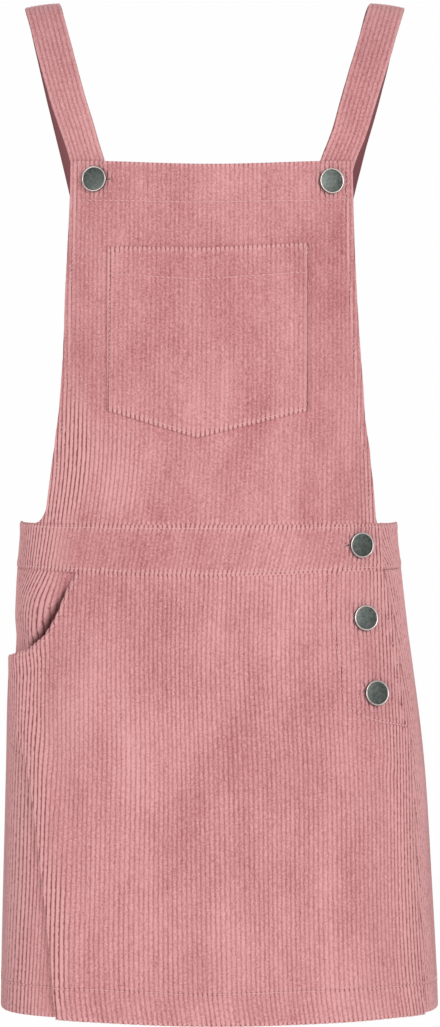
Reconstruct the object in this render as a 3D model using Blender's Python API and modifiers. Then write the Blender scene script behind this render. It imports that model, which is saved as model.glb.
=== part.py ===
"""Pinafore dress in wide-wale corduroy, in its worn shape: bib, straps, waistband and short flared skirt.

+X is to the right as seen from the front, -Y is the front and +Z is up. The origin is midway between the
two straps where they lie on the shoulders, level with their undersides.

Every cut piece is drawn flat first: "across" runs round the body and "up" is the height. It is then laid on
the form that the dress is filled out to, so the wales stay upright and the cut edges run across them.
"""
import math
from collections import namedtuple
from functools import lru_cache

import bmesh
import bpy
import numpy as np
from mathutils import Matrix, Vector

# The cloth
WALE_PITCH = 0.0036
WALE_HEIGHT = 0.00055
CLOTH = 0.0014
BAND_CLOTH = 0.0018
STRAP_CLOTH = 0.0019
PLAIN_WALES = 3
SEAM_GAP = 0.0003
UNDER_GAP = 0.0008

# The form: rings round the body from the shoulders to just below the hem
Ring = namedtuple("Ring", "height middle half_width front back squareness")
RINGS = (
    Ring(0.030, -0.0012, 0.1480, 0.0720, 0.0640, 2.4),
    Ring(-0.125, -0.0012, 0.1500, 0.0840, 0.0720, 2.4),
    Ring(-0.210, -0.0014, 0.1550, 0.0920, 0.0780, 2.4),
    Ring(-0.310, -0.0018, 0.1540, 0.0960, 0.0800, 2.4),
    Ring(-0.413, -0.0034, 0.1486, 0.0900, 0.0780, 2.5),
    Ring(-0.450, -0.0030, 0.1518, 0.0905, 0.0810, 2.5),
    Ring(-0.522, -0.0020, 0.1588, 0.0960, 0.0930, 2.6),
    Ring(-0.606, 0.0016, 0.1642, 0.1020, 0.1010, 2.7),
    Ring(-0.702, 0.0034, 0.1684, 0.1070, 0.1030, 2.7),
    Ring(-0.802, 0.0050, 0.1728, 0.1110, 0.1050, 2.7),
    Ring(-0.900, 0.0058, 0.1768, 0.1140, 0.1060, 2.7),
)
RING_CORNERS = 720

# The bib: its top edge and its two sides, measured across from centre front
BIB_TOP = -0.1240
BIB_TOP_DIP = 0.0028
BIB_LEVELS = (-0.385, -0.345, -0.270, -0.190)
Side = namedtuple("Side", "height left right")
BIB_SIDES = (
    Side(-0.1240, -0.1135, 0.1138),
    Side(-0.1550, -0.1141, 0.1146),
    Side(-0.1940, -0.1159, 0.1161),
    Side(-0.2340, -0.1182, 0.1185),
    Side(-0.2690, -0.1194, 0.1212),
    Side(-0.3000, -0.1219, 0.1244),
    Side(-0.3280, -0.1245, 0.1270),
    Side(-0.3520, -0.1280, 0.1320),
    Side(-0.3760, -0.1318, 0.1348),
    Side(-0.3980, -0.1352, 0.1365),
    Side(-0.4030, -0.1372, 0.1373),
    Side(-0.4065, -0.1402, 0.1379),
    Side(-0.4090, -0.1435, 0.1383),
    Side(-0.4105, -0.1492, 0.1385),
)

# The patch pocket: straight sides, and a lower edge that comes to a blunt point
POCKET_LEFT = -0.0810
POCKET_RIGHT = 0.0765
POCKET_TOP = ((-0.0810, -0.1922), (0.0, -0.1930), (0.0765, -0.1892))
POCKET_BOTTOM = ((-0.0810, -0.3197), (-0.0100, -0.3412), (0.0765, -0.3197))

# The waistband
BAND_TOP = -0.4108
BAND_BOTTOM = -0.4468
BAND_DIP = 0.0034
BAND_LEFT = -0.1860
BAND_RIGHT = 0.1437
BAND_LEVELS = (-0.430,)
BAND_BACK_DIP = 0.0042
BAND_BACK_REACH = 0.200

# The skirt: its side seams as the front's edges, its hem, and the scooped mouth of the hip pocket
SKIRT_SEAMS = (
    Side(-0.4400, -0.1850, 0.1437),
    Side(-0.4700, -0.1845, 0.1505),
    Side(-0.4920, -0.1840, 0.1556),
    Side(-0.5165, -0.1830, 0.1592),
    Side(-0.5500, -0.1790, 0.1628),
    Side(-0.5800, -0.1665, 0.1675),
    Side(-0.5975, -0.1560, 0.1681),
    Side(-0.6250, -0.1500, 0.1683),
    Side(-0.6690, -0.1436, 0.1686),
    Side(-0.7065, -0.1385, 0.1698),
    Side(-0.7560, -0.1335, 0.1728),
    Side(-0.8100, -0.1285, 0.1755),
)
SKIRT_LEFT = -0.1830
SKIRT_RIGHT = 0.1747
SKIRT_LEVELS = (-0.690, -0.610, -0.560, -0.505)
HEM = -0.7985
HEM_DIP = 0.0044
HEM_DIP_REACH = 0.190
POCKET_MOUTH = (
    (-0.1830, -0.5168), (-0.1700, -0.5150), (-0.1500, -0.5104), (-0.1345, -0.5000), (-0.1278, -0.4908),
    (-0.1215, -0.4797), (-0.1170, -0.4686), (-0.1130, -0.4599), (-0.1060, -0.4480),
)
MOUTH_GAPE = 0.0030

# Where a front piece laps over a back piece: the back runs on under it, and from these places outwards
# the front lies one layer higher
TUCK = 0.008
LAP_RISE = 0.0028
LAP_EASE = 0.020
LAPS = (
    Side(-0.4108, -0.1690, 0.1060),
    Side(-0.5050, -0.1690, 0.1080),
    Side(-0.5600, -0.1625, 0.1150),
    Side(-0.6100, -0.1385, 0.1540),
    Side(-0.6900, -0.1265, 0.1552),
    Side(-0.7560, -0.1195, 0.1588),
    Side(-0.8100, -0.1145, 0.1615),
)

# The hip pocket's facing runs on round the side, level with the back at the waistband and drawn in towards
# the mouth, and above the mouth's end the back starts behind it
HIP_SEAM = -0.2430
HIP_SEAM_END = -0.5190
HIP_SEAM_TURN = -0.5205
HIP_DENT = 0.0030
HIP_DENT_RISE = 0.035
HIP_DENT_LEFT = -0.2350
HIP_DENT_RIGHT = -0.1500
HIP_DENT_EASE = 0.020

# The pieces under the front: the hip pocket's facing and the placket's underlap
FACING_LEFT = HIP_SEAM + 2 * SEAM_GAP
FACING_RIGHT = -0.0930
FACING_DEPTH = 0.014
FACING_SINK = 0.070
UNDERLAP_LEFT = 0.1000
UNDERLAP_RIGHT = 0.1560
UNDERLAP_BOTTOM = ((0.100, -0.535), (0.108, -0.547), (0.121, -0.560), (0.156, -0.566))

# The straps: the stretches sewn under the bib and the waistband, and the free stretch over the shoulder
STRAP_WIDTH = 0.0285
STRAP_CUP = 7.0
Sewn = namedtuple("Sewn", "height left right turn")
STRAP_AT_BIB = (
    Sewn(-0.1660, -0.0878, 0.0905, -17.0),
    Sewn(-0.1440, -0.0948, 0.0976, -19.5),
    Sewn(-0.1240, -0.1006, 0.1032, -21.5),
)
Free = namedtuple("Free", "height depth left right turn tilt")
STRAP_FREE = (
    Free(-0.1020, -0.0652, -0.1054, 0.1073, -21.0, 0.0),
    Free(-0.0780, -0.0580, -0.1134, 0.1145, -19.0, 0.0),
    Free(-0.0560, -0.0490, -0.1198, 0.1213, -15.0, 1.0),
    Free(-0.0360, -0.0370, -0.1254, 0.1276, -11.0, 3.0),
    Free(-0.0160, -0.0215, -0.1310, 0.1335, -6.0, 6.0),
    Free(-0.0035, -0.0085, -0.1348, 0.1376, -2.0, 7.6),
    Free(-0.0005, 0.0050, -0.1358, 0.1388, 1.0, 7.6),
    Free(-0.0060, 0.0180, -0.1340, 0.1362, 4.0, 7.0),
    Free(-0.0200, 0.0315, -0.1312, 0.1326, 7.0, 5.0),
    Free(-0.0420, 0.0430, -0.1265, 0.1275, 8.0, 2.0),
    Free(-0.0776, 0.0530, -0.1184, 0.1183, 8.0, 0.0),
    Free(-0.1136, 0.0585, -0.1098, 0.1082, 8.0, 0.0),
    Free(-0.1600, 0.0628, -0.0990, 0.0970, 7.0, 0.0),
    Free(-0.2200, 0.0672, -0.0850, 0.0832, 6.0, 0.0),
    Free(-0.2850, 0.0705, -0.0698, 0.0682, 5.0, 0.0),
    Free(-0.3450, 0.0726, -0.0558, 0.0542, 4.5, 0.0),
)
STRAP_AT_BACK = (
    Sewn(-0.4060, 0.0415, -0.0400, 4.4),
    Sewn(-0.4385, 0.0340, -0.0330, 4.4),
)
STRAP_SAMPLES = 12

# The buttons: where each is sewn, measured across from centre front, and how many degrees it is turned
# on its shank towards the front
Button = namedtuple("Button", "node across height floor turn")
BUTTONS = (
    Button("button_bib_left", -0.0920, -0.1386, CLOTH, 0.0),
    Button("button_bib_right", 0.0946, -0.1402, CLOTH, 0.0),
    Button("button_waistband", 0.1210, -0.4269, BAND_CLOTH, 10.0),
    Button("button_placket_upper", 0.1235, -0.4844, CLOTH, 10.0),
    Button("button_placket_lower", 0.1310, -0.5435, CLOTH, 10.0),
)
BUTTON_STEPS = 16
SHANK_RADIUS = 0.0035
BUTTON_PROFILE = (
    (0.0, 0.0030), (0.0084, 0.0026), (0.0088, 0.0034), (0.0096, 0.0034), (0.0100, 0.0026),
    (0.0094, 0.0010), (SHANK_RADIUS, 0.0010), (SHANK_RADIUS, 0.0), (0.0, 0.0),
)

PINK = (0.638, 0.301, 0.309)
GUNMETAL = (0.080, 0.090, 0.088)

Corner = namedtuple("Corner", "across up vertex")


def clear_scene():
    """Remove whatever the scene holds."""
    for thing in list(bpy.data.objects):
        bpy.data.objects.remove(thing)


def principled(name, colour, roughness, metallic):
    """A plain finish for one piece."""
    finish = bpy.data.materials.new(name)
    finish.use_nodes = True
    shader = finish.node_tree.nodes["Principled BSDF"]
    shader.inputs["Base Color"].default_value = (*colour, 1.0)
    shader.inputs["Roughness"].default_value = roughness
    shader.inputs["Metallic"].default_value = metallic
    return finish


def smoothed(rows, field, height):
    """Read one column of a table at any height, on a smooth curve through its rows."""
    rows = rows[::-1]
    heights = [row.height for row in rows]
    values = [getattr(row, field) for row in rows]
    low = int(np.clip(np.searchsorted(heights, height) - 1, 1, len(rows) - 3))
    run = heights[low + 1] - heights[low]
    slope_low = (values[low + 1] - values[low - 1]) / (heights[low + 1] - heights[low - 1])
    slope_high = (values[low + 2] - values[low]) / (heights[low + 2] - heights[low])
    part = (height - heights[low]) / run
    return (
        (2 * part**3 - 3 * part**2 + 1) * values[low]
        + (part**3 - 2 * part**2 + part) * run * slope_low
        + (3 * part**2 - 2 * part**3) * values[low + 1]
        + (part**3 - part**2) * run * slope_high
    )


def on_edge(rows, field, height):
    """How far across a side edge lies at a height."""
    return float(np.interp(height, [row.height for row in rows[::-1]],
                           [getattr(row, field) for row in rows[::-1]]))


def height_at(points, across):
    """The height of an edge drawn as (across, height) points."""
    points = sorted(points)
    return float(np.interp(across, [point[0] for point in points], [point[1] for point in points]))


def ease(part):
    """A soft step from 0 to 1."""
    part = min(max(part, 0.0), 1.0)
    return part * part * (3 - 2 * part)


def dipped(level, dip, across, reach):
    """A level edge that drops towards centre front."""
    if abs(across) >= reach:
        return level
    return level - dip * math.cos(math.pi / 2 * across / reach) ** 2


@lru_cache(maxsize=None)
def ring(height):
    """The form's outline at one height: distance round from centre front, places and outward normals."""
    angles = np.linspace(-math.pi, math.pi, RING_CORNERS + 1)
    middle, half_width, front, back, squareness = (
        smoothed(RINGS, field, height) for field in Ring._fields[1:])
    depth = np.where(np.cos(angles) > 0, front, back)
    radius = (np.abs(np.sin(angles) / half_width) ** squareness
              + np.abs(np.cos(angles) / depth) ** squareness) ** (-1 / squareness)
    xs = middle + radius * np.sin(angles)
    ys = -radius * np.cos(angles)
    steps = np.hypot(np.diff(xs), np.diff(ys))
    around = np.concatenate([[0.0], np.cumsum(steps)])
    around -= around[RING_CORNERS // 2]
    slope_x = np.gradient(xs)
    slope_y = np.gradient(ys)
    length = np.hypot(slope_x, slope_y)
    return around, xs, ys, slope_y / length, -slope_x / length


def half_round(height):
    """Half the way round the form, from centre front to centre back."""
    around = ring(round(height, 6))[0]
    return float(around[-1] - around[0]) / 2


def on_front(across, height, out):
    """A point on the form, out from its surface, measured across from centre front."""
    around, xs, ys, normal_x, normal_y = ring(round(height, 6))
    x, y, out_x, out_y = (float(np.interp(across, around, row)) for row in (xs, ys, normal_x, normal_y))
    return Vector((x + out_x * out, y + out_y * out, height))


def on_back(across, height, out):
    """The same, measured from centre back."""
    half = half_round(height)
    return on_front(across - half if across >= 0 else across + half, height, out)


def lap(across, height):
    """How far a front piece rises to lie over the back piece at a side opening or seam."""
    rise = LAP_RISE * ease(1 + (across - on_edge(LAPS, "right", height)) / LAP_EASE)
    mouth_top, mouth_end = POCKET_MOUTH[3][1], POCKET_MOUTH[0][1]
    below_mouth = ease((mouth_top - height) / (mouth_top - mouth_end))
    return rise + LAP_RISE * below_mouth * ease(1 + (on_edge(LAPS, "left", height) - across) / LAP_EASE)


def bib_place(across, height, out):
    """The bib lies on the form, and its lower right corner rises with the waistband's overlap."""
    fade = ease((BIB_LEVELS[1] - height) / (BIB_LEVELS[1] - BAND_TOP))
    return on_front(across, height, out + fade * lap(across, height))


def front_place(across, height, out):
    """The waistband's front lies on the form and laps over its back at the right."""
    return on_front(across, height, out + lap(across, height))


def skirt_place(across, height, out):
    """The skirt's front also stands a little off its pocket's facing along the scooped mouth."""
    above = height - height_at(POCKET_MOUTH, across)
    near = ease(1 + above / LAP_EASE) if across < POCKET_MOUTH[-1][0] else 0.0
    along = (across - SKIRT_LEFT) / (POCKET_MOUTH[-1][0] - SKIRT_LEFT)
    gape = MOUTH_GAPE * near * math.sin(math.pi * min(max(along, 0.0), 1.0))
    return front_place(across, height, out + gape)


def under_place(across, height, out):
    """A piece under the front, clear of its inside."""
    return on_front(across, height, out - UNDER_GAP - CLOTH - WALE_HEIGHT)


def facing_place(across, height, out):
    """The hip pocket's facing, level with the back at the waistband and sunk under the front's mouth."""
    above = height - height_at(POCKET_MOUTH, across)
    sunk = (UNDER_GAP + CLOTH + WALE_HEIGHT) * ease(1 - above / FACING_SINK)
    beside = (ease((across - HIP_DENT_LEFT) / HIP_DENT_EASE)
              * ease((HIP_DENT_RIGHT - across) / HIP_DENT_EASE))
    return on_front(across, height, out - sunk - HIP_DENT * ease(1 - above / HIP_DENT_RISE) * beside)


def pocket_place(across, height, out):
    """The patch pocket, on top of the bib's wales."""
    return on_front(across, height, out + CLOTH + WALE_HEIGHT + SEAM_GAP)


def bib_top(across):
    """The bib's upper edge: its top, and past its corners its two sides."""
    if across < BIB_SIDES[0].left:
        return height_at([(row.left, row.height) for row in BIB_SIDES], across)
    if across > BIB_SIDES[0].right:
        return height_at([(row.right, row.height) for row in BIB_SIDES], across)
    return dipped(BIB_TOP, BIB_TOP_DIP, across, BIB_SIDES[0].right)


def band_bottom(across):
    """The waistband's lower edge."""
    return dipped(BAND_BOTTOM, BAND_DIP, across, BAND_RIGHT)


def hem(across):
    """The skirt's lower edge."""
    return dipped(HEM, HEM_DIP, across, HEM_DIP_REACH)


def skirt_front_top(across):
    """The skirt front's upper edge: the pocket's mouth, the waistband seam, then the right side."""
    if across < POCKET_MOUTH[-1][0]:
        return height_at(POCKET_MOUTH, across)
    if across > BAND_RIGHT:
        return height_at([(row.right, row.height) for row in SKIRT_SEAMS[1:]]
                         + [(BAND_RIGHT, BAND_BOTTOM - SEAM_GAP)], across)
    return band_bottom(across) - SEAM_GAP


def skirt_front_bottom(across):
    """The skirt front's lower edge: the left side seam, then the hem."""
    seam = height_at([(row.left, row.height) for row in SKIRT_SEAMS[3:]], across)
    return max(seam, hem(across))


def back_edge(side, tuck, height):
    """A side edge of the skirt's back, measured across from centre back."""
    if side == "left" and height >= HIP_SEAM_END:
        return HIP_SEAM + half_round(height)
    seam = on_edge(SKIRT_SEAMS, side, height)
    return seam + tuck + (half_round(height) if side == "left" else -half_round(height))


def skirt_back_top(across):
    """The skirt back's upper edge: the waistband seam, and the side edges where it widens below."""
    top = BAND_BOTTOM - SEAM_GAP
    right = back_edge("right", -TUCK, top)
    left = back_edge("left", TUCK, top)
    if across < right:
        return height_at([(back_edge("right", -TUCK, row.height), row.height) for row in SKIRT_SEAMS[2:]]
                         + [(right, top)], across)
    if across > left:
        levels = [row.height for row in SKIRT_SEAMS[1:]] + [HIP_SEAM_END, HIP_SEAM_TURN, top]
        return height_at([(back_edge("left", TUCK, level), level) for level in levels], across)
    return top


def band_back_edge(side, height):
    """The waistband back's ends: its right one runs on under the front's, its left one meets it."""
    if side == "right":
        return BAND_RIGHT - TUCK - half_round(height)
    return BAND_LEFT - 2 * SEAM_GAP + half_round(height)


def band_back_top(across):
    """The waistband back's upper edge, which lies lower behind, with its two slanting ends."""
    level = BAND_TOP - BAND_BACK_DIP * (1 - min(abs(across) / BAND_BACK_REACH, 1.0) ** 4)
    for side, outside in (("right", -1), ("left", 1)):
        if (across - band_back_edge(side, BAND_TOP)) * outside > 0:
            end = height_at([(band_back_edge(side, height), height)
                             for height in (BAND_TOP, *BAND_LEVELS, BAND_BOTTOM)], across)
            return min(level, end)
    return level


def wale(across):
    """How far the wales stand up at a place across: a ridge midway between two grooves."""
    part = across / WALE_PITCH % 1.0
    return WALE_HEIGHT * (1 - abs(2 * part - 1))


def wale_lines(first, last, wales, corners):
    """Lines from one side to the other, and which of them the plain inside follows too.

    There is one along each ridge and groove, and one through each corner of a slanting side edge.
    """
    half = WALE_PITCH / 2
    plain = 2 * PLAIN_WALES
    steps = range(math.ceil(first / half + 0.3), math.floor(last / half - 0.3) + 1)
    corners = [across for across in corners if first + half / 6 < across < last - half / 6]
    lines = [(step * half, step % plain == 0) for step in steps
             if (wales or step % plain == 0)
             and all(abs(step * half - across) > half / 6 for across in corners)]
    return [(first, True), *sorted(lines + [(across, True) for across in corners]), (last, True)]


def close_strip(mesh, one, other, field):
    """Fill between two lines of corners that run the same way."""
    here, there = 0, 0
    while here + 1 < len(one) or there + 1 < len(other):
        ahead = getattr(one[here + 1], field) if here + 1 < len(one) else math.inf
        beside = getattr(other[there + 1], field) if there + 1 < len(other) else math.inf
        if ahead <= beside:
            corners = (one[here], one[here + 1], other[there])
            here += 1
        else:
            corners = (one[here], other[there + 1], other[there])
            there += 1
        mesh.faces.new([corner.vertex for corner in corners])


def cut_piece(name, place, span, bottom, top, levels, cloth=CLOTH, wales=True, corners=()):
    """One cut piece of corduroy: wales outside, plain inside, closed along all its edges."""
    mesh = bmesh.new()

    def line(across, out):
        low, high = bottom(across), top(across)
        if high - low < SEAM_GAP:
            heights = [(low + high) / 2]
        else:
            between = [level for level in levels if low < level - SEAM_GAP < high - 2 * SEAM_GAP]
            heights = [low, *between, high]
        return [Corner(across, up, mesh.verts.new(place(across, up, out))) for up in heights]

    lines = wale_lines(*span, wales, corners)
    outside = [line(across, cloth + (wale(across) if wales else 0.0)) for across, plain in lines]
    inside = [line(across, 0.0) for across, plain in lines if plain]
    for wall in (outside, inside):
        for one, other in zip(wall, wall[1:]):
            close_strip(mesh, one, other, "up")
    for end in (0, -1):
        close_strip(mesh, [row[end] for row in outside], [row[end] for row in inside], "across")
        close_strip(mesh, outside[end], inside[end], "up")
    bmesh.ops.recalc_face_normals(mesh, faces=mesh.faces)
    if mesh.calc_volume(signed=True) < 0:
        bmesh.ops.reverse_faces(mesh, faces=mesh.faces)
    data = bpy.data.meshes.new(name)
    mesh.to_mesh(data)
    mesh.free()
    data.materials.append(principled(name + "_corduroy", PINK, 0.95, 0.0))
    return add_piece(name, data)


def add_piece(name, data):
    """Put a mesh in the dress's collection."""
    piece = bpy.data.objects.new(name, data)
    dress.objects.link(piece)
    return piece


def strap_route(side, mirror):
    """The strap's middle line along its underside, with its way across at each place."""
    floor = -UNDER_GAP - STRAP_CLOTH - WALE_HEIGHT
    stations = []
    for row in STRAP_AT_BIB:
        stations.append((on_front(getattr(row, side), row.height, floor), row.turn, 0.0))
    for row in STRAP_FREE:
        stations.append((Vector((getattr(row, side), row.depth, row.height)), row.turn, row.tilt))
    for row in STRAP_AT_BACK:
        stations.append((on_back(getattr(row, side), row.height, floor), row.turn, 0.0))
    ways = []
    for place, turn, tilt in stations:
        turn, tilt = math.radians(turn), math.radians(tilt)
        way = Vector((math.cos(turn) * math.cos(tilt), math.sin(turn) * math.cos(tilt), math.sin(tilt)))
        way.x *= mirror
        ways.append(way)
    return [place for place, turn, tilt in stations], ways


def through(points, part):
    """A smooth curve through points, read at a whole number of points and a part of the next."""
    low = min(max(int(part), 0), len(points) - 2)
    part -= low
    before = points[max(low - 1, 0)]
    start, end = points[low], points[low + 1]
    after = points[min(low + 2, len(points) - 1)]
    return (start * (2 - 5 * part**2 + 3 * part**3) + before * (2 * part**2 - part - part**3)
            + end * (part + 4 * part**2 - 3 * part**3) + after * (part**3 - part**2)) / 2


def strap(name, side, mirror):
    """One strap: double cloth from under the bib, over the shoulder and down to the back waistband."""
    points, ways = strap_route(side, mirror)
    last = len(points) - 1

    def place(across, along, out):
        step = 1 / STRAP_SAMPLES
        centre = through(points, along)
        forward = through(points, min(along + step, last)) - through(points, max(along - step, 0.0))
        way = through(ways, along)
        forward.normalize()
        way = (way - forward * way.dot(forward)).normalized()
        normal = way.cross(forward) * mirror
        return centre + way * across + normal * (out - STRAP_CUP * across**2 / 2)

    half = STRAP_WIDTH / 2
    return cut_piece(name, place, (-half, half), lambda across: 0.0, lambda across: float(last),
                     range(1, last), STRAP_CLOTH)


def button(node, across, height, floor, turn):
    """One turned metal button, seated on the cloth over its sewn shank."""
    place = bib_place if height > BAND_TOP else front_place
    lean = math.radians(turn)
    out = floor + WALE_HEIGHT + SEAM_GAP + SHANK_RADIUS * math.sin(lean)
    seat = place(across, height, out)
    beside = place(across + 0.004, height, out) - place(across - 0.004, height, out)
    above = place(across, height + 0.004, out) - place(across, height - 0.004, out)
    facing = Matrix.Rotation(-lean, 3, "Z") @ beside.cross(above).normalized()
    sideways = above.cross(facing).normalized()
    upright = facing.cross(sideways)
    profile = bpy.data.meshes.new(node)
    profile.from_pydata([(radius, 0.0, rise) for radius, rise in BUTTON_PROFILE],
                        [(step, step + 1) for step in range(len(BUTTON_PROFILE) - 1)], [])
    profile.materials.append(principled(node + "_gunmetal", GUNMETAL, 0.35, 1.0))
    piece = add_piece(node, profile)
    piece.matrix_world = (Matrix.Translation(seat)
                          @ Matrix((sideways, upright, facing)).transposed().to_4x4())
    turn = piece.modifiers.new("turned", "SCREW")
    turn.axis = "Z"
    turn.steps = BUTTON_STEPS
    turn.render_steps = BUTTON_STEPS
    turn.use_merge_vertices = True
    turn.merge_threshold = 0.00001
    return piece


def make_bib():
    """The bib and the patch pocket on it."""
    cut_piece("bib_front", bib_place, (BIB_SIDES[-1].left, BIB_SIDES[-1].right),
              lambda across: BAND_TOP + SEAM_GAP, bib_top, BIB_LEVELS,
              corners=[on_edge(BIB_SIDES, side, level)
                       for side in ("left", "right") for level in BIB_LEVELS])
    cut_piece("bib_pocket", pocket_place, (POCKET_LEFT, POCKET_RIGHT),
              lambda across: height_at(POCKET_BOTTOM, across),
              lambda across: height_at(POCKET_TOP, across), BIB_LEVELS)


def make_waistband():
    """The waistband's front, which buttons over its back at the right."""
    cut_piece("waistband_front", front_place, (BAND_LEFT, BAND_RIGHT),
              band_bottom, lambda across: BAND_TOP, BAND_LEVELS, BAND_CLOTH)
    ends = (band_back_edge("right", BAND_BOTTOM), band_back_edge("left", BAND_BOTTOM))
    cut_piece("waistband_back", on_back, ends,
              lambda across: BAND_BOTTOM, band_back_top, BAND_LEVELS, BAND_CLOTH,
              corners=[band_back_edge(side, level) for side in ("left", "right") for level in BAND_LEVELS])


def make_skirt():
    """The skirt's front and back, the hip pocket's facing and the placket's underlap."""
    cut_piece("skirt_front", skirt_place, (SKIRT_LEFT, SKIRT_RIGHT),
              skirt_front_bottom, skirt_front_top, SKIRT_LEVELS,
              corners=[on_edge(SKIRT_SEAMS, side, level)
                       for side in ("left", "right") for level in SKIRT_LEVELS])
    ends = (back_edge("right", -TUCK, HEM), back_edge("left", TUCK, HEM))
    cut_piece("skirt_back", on_back, ends,
              lambda across: HEM, skirt_back_top, SKIRT_LEVELS,
              corners=[back_edge(side, tuck, level)
                       for side, tuck in (("left", TUCK), ("right", -TUCK)) for level in SKIRT_LEVELS]
                      + [back_edge("left", TUCK, level) for level in (HIP_SEAM_END, HIP_SEAM_TURN)])
    cut_piece("hip_pocket_facing", facing_place, (FACING_LEFT, FACING_RIGHT),
              lambda across: height_at(POCKET_MOUTH, across) - FACING_DEPTH,
              lambda across: band_bottom(across) - SEAM_GAP, SKIRT_LEVELS)
    cut_piece("side_underlap", under_place, (UNDERLAP_LEFT, UNDERLAP_RIGHT),
              lambda across: height_at(UNDERLAP_BOTTOM, across),
              lambda across: BAND_TOP, SKIRT_LEVELS + (BAND_BOTTOM,) + BAND_LEVELS, wales=False)


def make_straps():
    """The two shoulder straps."""
    strap("strap_left", "left", 1)
    strap("strap_right", "right", -1)


def make_buttons():
    """The five buttons: two on the bib, one on the waistband and two down the side placket."""
    for row in BUTTONS:
        button(*row)


clear_scene()
dress = bpy.data.collections.new("pinafore_dress")
bpy.context.scene.collection.children.link(dress)
make_bib()
make_waistband()
make_skirt()
make_straps()
make_buttons()
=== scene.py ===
import math
from collections import namedtuple

import bmesh
import bpy
import numpy as np
from mathutils import Matrix, Vector
from mathutils.kdtree import KDTree


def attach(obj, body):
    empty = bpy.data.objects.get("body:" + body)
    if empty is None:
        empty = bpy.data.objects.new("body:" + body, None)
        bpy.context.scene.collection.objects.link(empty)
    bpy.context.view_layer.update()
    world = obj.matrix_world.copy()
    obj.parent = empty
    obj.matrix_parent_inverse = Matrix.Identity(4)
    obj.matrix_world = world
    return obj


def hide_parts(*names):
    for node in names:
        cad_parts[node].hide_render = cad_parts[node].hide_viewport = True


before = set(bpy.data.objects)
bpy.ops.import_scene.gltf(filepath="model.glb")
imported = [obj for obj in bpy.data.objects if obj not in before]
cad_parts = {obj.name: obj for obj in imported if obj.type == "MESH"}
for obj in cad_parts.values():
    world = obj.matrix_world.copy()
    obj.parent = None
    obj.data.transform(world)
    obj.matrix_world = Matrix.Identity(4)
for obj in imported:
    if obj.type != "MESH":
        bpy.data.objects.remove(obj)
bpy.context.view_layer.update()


# Camera: it looks straight at the front of the dress from 5 m, a little above the middle, as a shop's
# picture is taken. The lens is found from the size of a photo pixel at the dress.
PHOTO_HEIGHT = 1027
PIXEL = 0.0008
CAMERA_PLACE = Vector((0.0056, -5.0, -0.234))
AIM_HEIGHT = -0.4044
SENSOR = 24.0


def placed(name, data):
    """A new object in the scene."""
    piece = bpy.data.objects.new(name, data)
    bpy.context.scene.collection.objects.link(piece)
    return piece


camera = placed("camera", bpy.data.cameras.new("camera"))
camera.location = CAMERA_PLACE
drop = math.atan((CAMERA_PLACE.z - AIM_HEIGHT) / -CAMERA_PLACE.y)
camera.rotation_euler = (math.pi / 2 - drop, 0, 0)
camera.data.sensor_fit = "VERTICAL"
camera.data.sensor_height = SENSOR
distance = math.hypot(CAMERA_PLACE.y, CAMERA_PLACE.z - AIM_HEIGHT)
camera.data.lens = SENSOR * distance / (PHOTO_HEIGHT * PIXEL)
bpy.context.scene.camera = camera


# Skirt back: the back panel of the skirt, in cotton corduroy with its wales running down. It is cut in
# one piece, sewn to the waistband, and runs on under the front's edges at both sides. Every cut piece is
# drawn flat (across and up), then laid on the form that the worn dress is filled out to.
WALE_PITCH = 0.0036
RIDGE = 0.00068
CLOTH = 0.0014
SEAM_GAP = 0.0003
Ring = namedtuple("Ring", "height middle half_width front back squareness")
RINGS = (
    Ring(0.030, -0.0012, 0.1480, 0.0720, 0.0640, 2.4),
    Ring(-0.125, -0.0012, 0.1500, 0.0840, 0.0720, 2.4),
    Ring(-0.210, -0.0014, 0.1550, 0.0920, 0.0780, 2.4),
    Ring(-0.310, -0.0018, 0.1540, 0.0960, 0.0800, 2.4),
    Ring(-0.413, -0.0034, 0.1486, 0.0900, 0.0780, 2.5),
    Ring(-0.450, -0.0030, 0.1518, 0.0905, 0.0810, 2.5),
    Ring(-0.522, -0.0020, 0.1588, 0.0960, 0.0930, 2.6),
    Ring(-0.606, 0.0016, 0.1642, 0.1020, 0.1010, 2.7),
    Ring(-0.702, 0.0034, 0.1684, 0.1070, 0.1030, 2.7),
    Ring(-0.802, 0.0050, 0.1728, 0.1110, 0.1050, 2.7),
    Ring(-0.900, 0.0058, 0.1768, 0.1140, 0.1060, 2.7),
)
Side = namedtuple("Side", "height left right")
SKIRT_SEAMS = (
    Side(-0.4400, -0.1850, 0.1437),
    Side(-0.4700, -0.1845, 0.1505),
    Side(-0.4920, -0.1840, 0.1556),
    Side(-0.5165, -0.1830, 0.1592),
    Side(-0.5500, -0.1790, 0.1628),
    Side(-0.5800, -0.1665, 0.1675),
    Side(-0.5975, -0.1560, 0.1681),
    Side(-0.6250, -0.1500, 0.1683),
    Side(-0.6690, -0.1436, 0.1686),
    Side(-0.7065, -0.1385, 0.1698),
    Side(-0.7560, -0.1335, 0.1728),
    Side(-0.8100, -0.1285, 0.1755),
)
TUCK = 0.008
BAND_BOTTOM = -0.4468
HIP_SEAM = -0.2430
HIP_SEAM_END = -0.5190
HIP_SEAM_TURN = -0.5205
SKIRT_TOP = BAND_BOTTOM - SEAM_GAP
HEM = -0.7985
HEM_STITCH = 0.0235
SIDE_SEAM_FROM = -0.475
GROOVE_BESIDE = 0.0016
TROUGH_BESIDE = 0.0012
TROUGH_WIDTH = 0.0030
TROUGH_DEPTH = 0.0022
GRID_UP = np.arange(-0.850, 0.0141, 0.002)
GRID_ACROSS = np.arange(-0.420, 0.4201, 0.001)
GRID_WALES = np.arange(-0.426, 0.4261, 0.006)
FORM_ANGLES = 721
BEND_REACH = 3
# One cell and a little, which keeps the last grid line's far side inside the grid
LAST_CELL = 1.001
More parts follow.
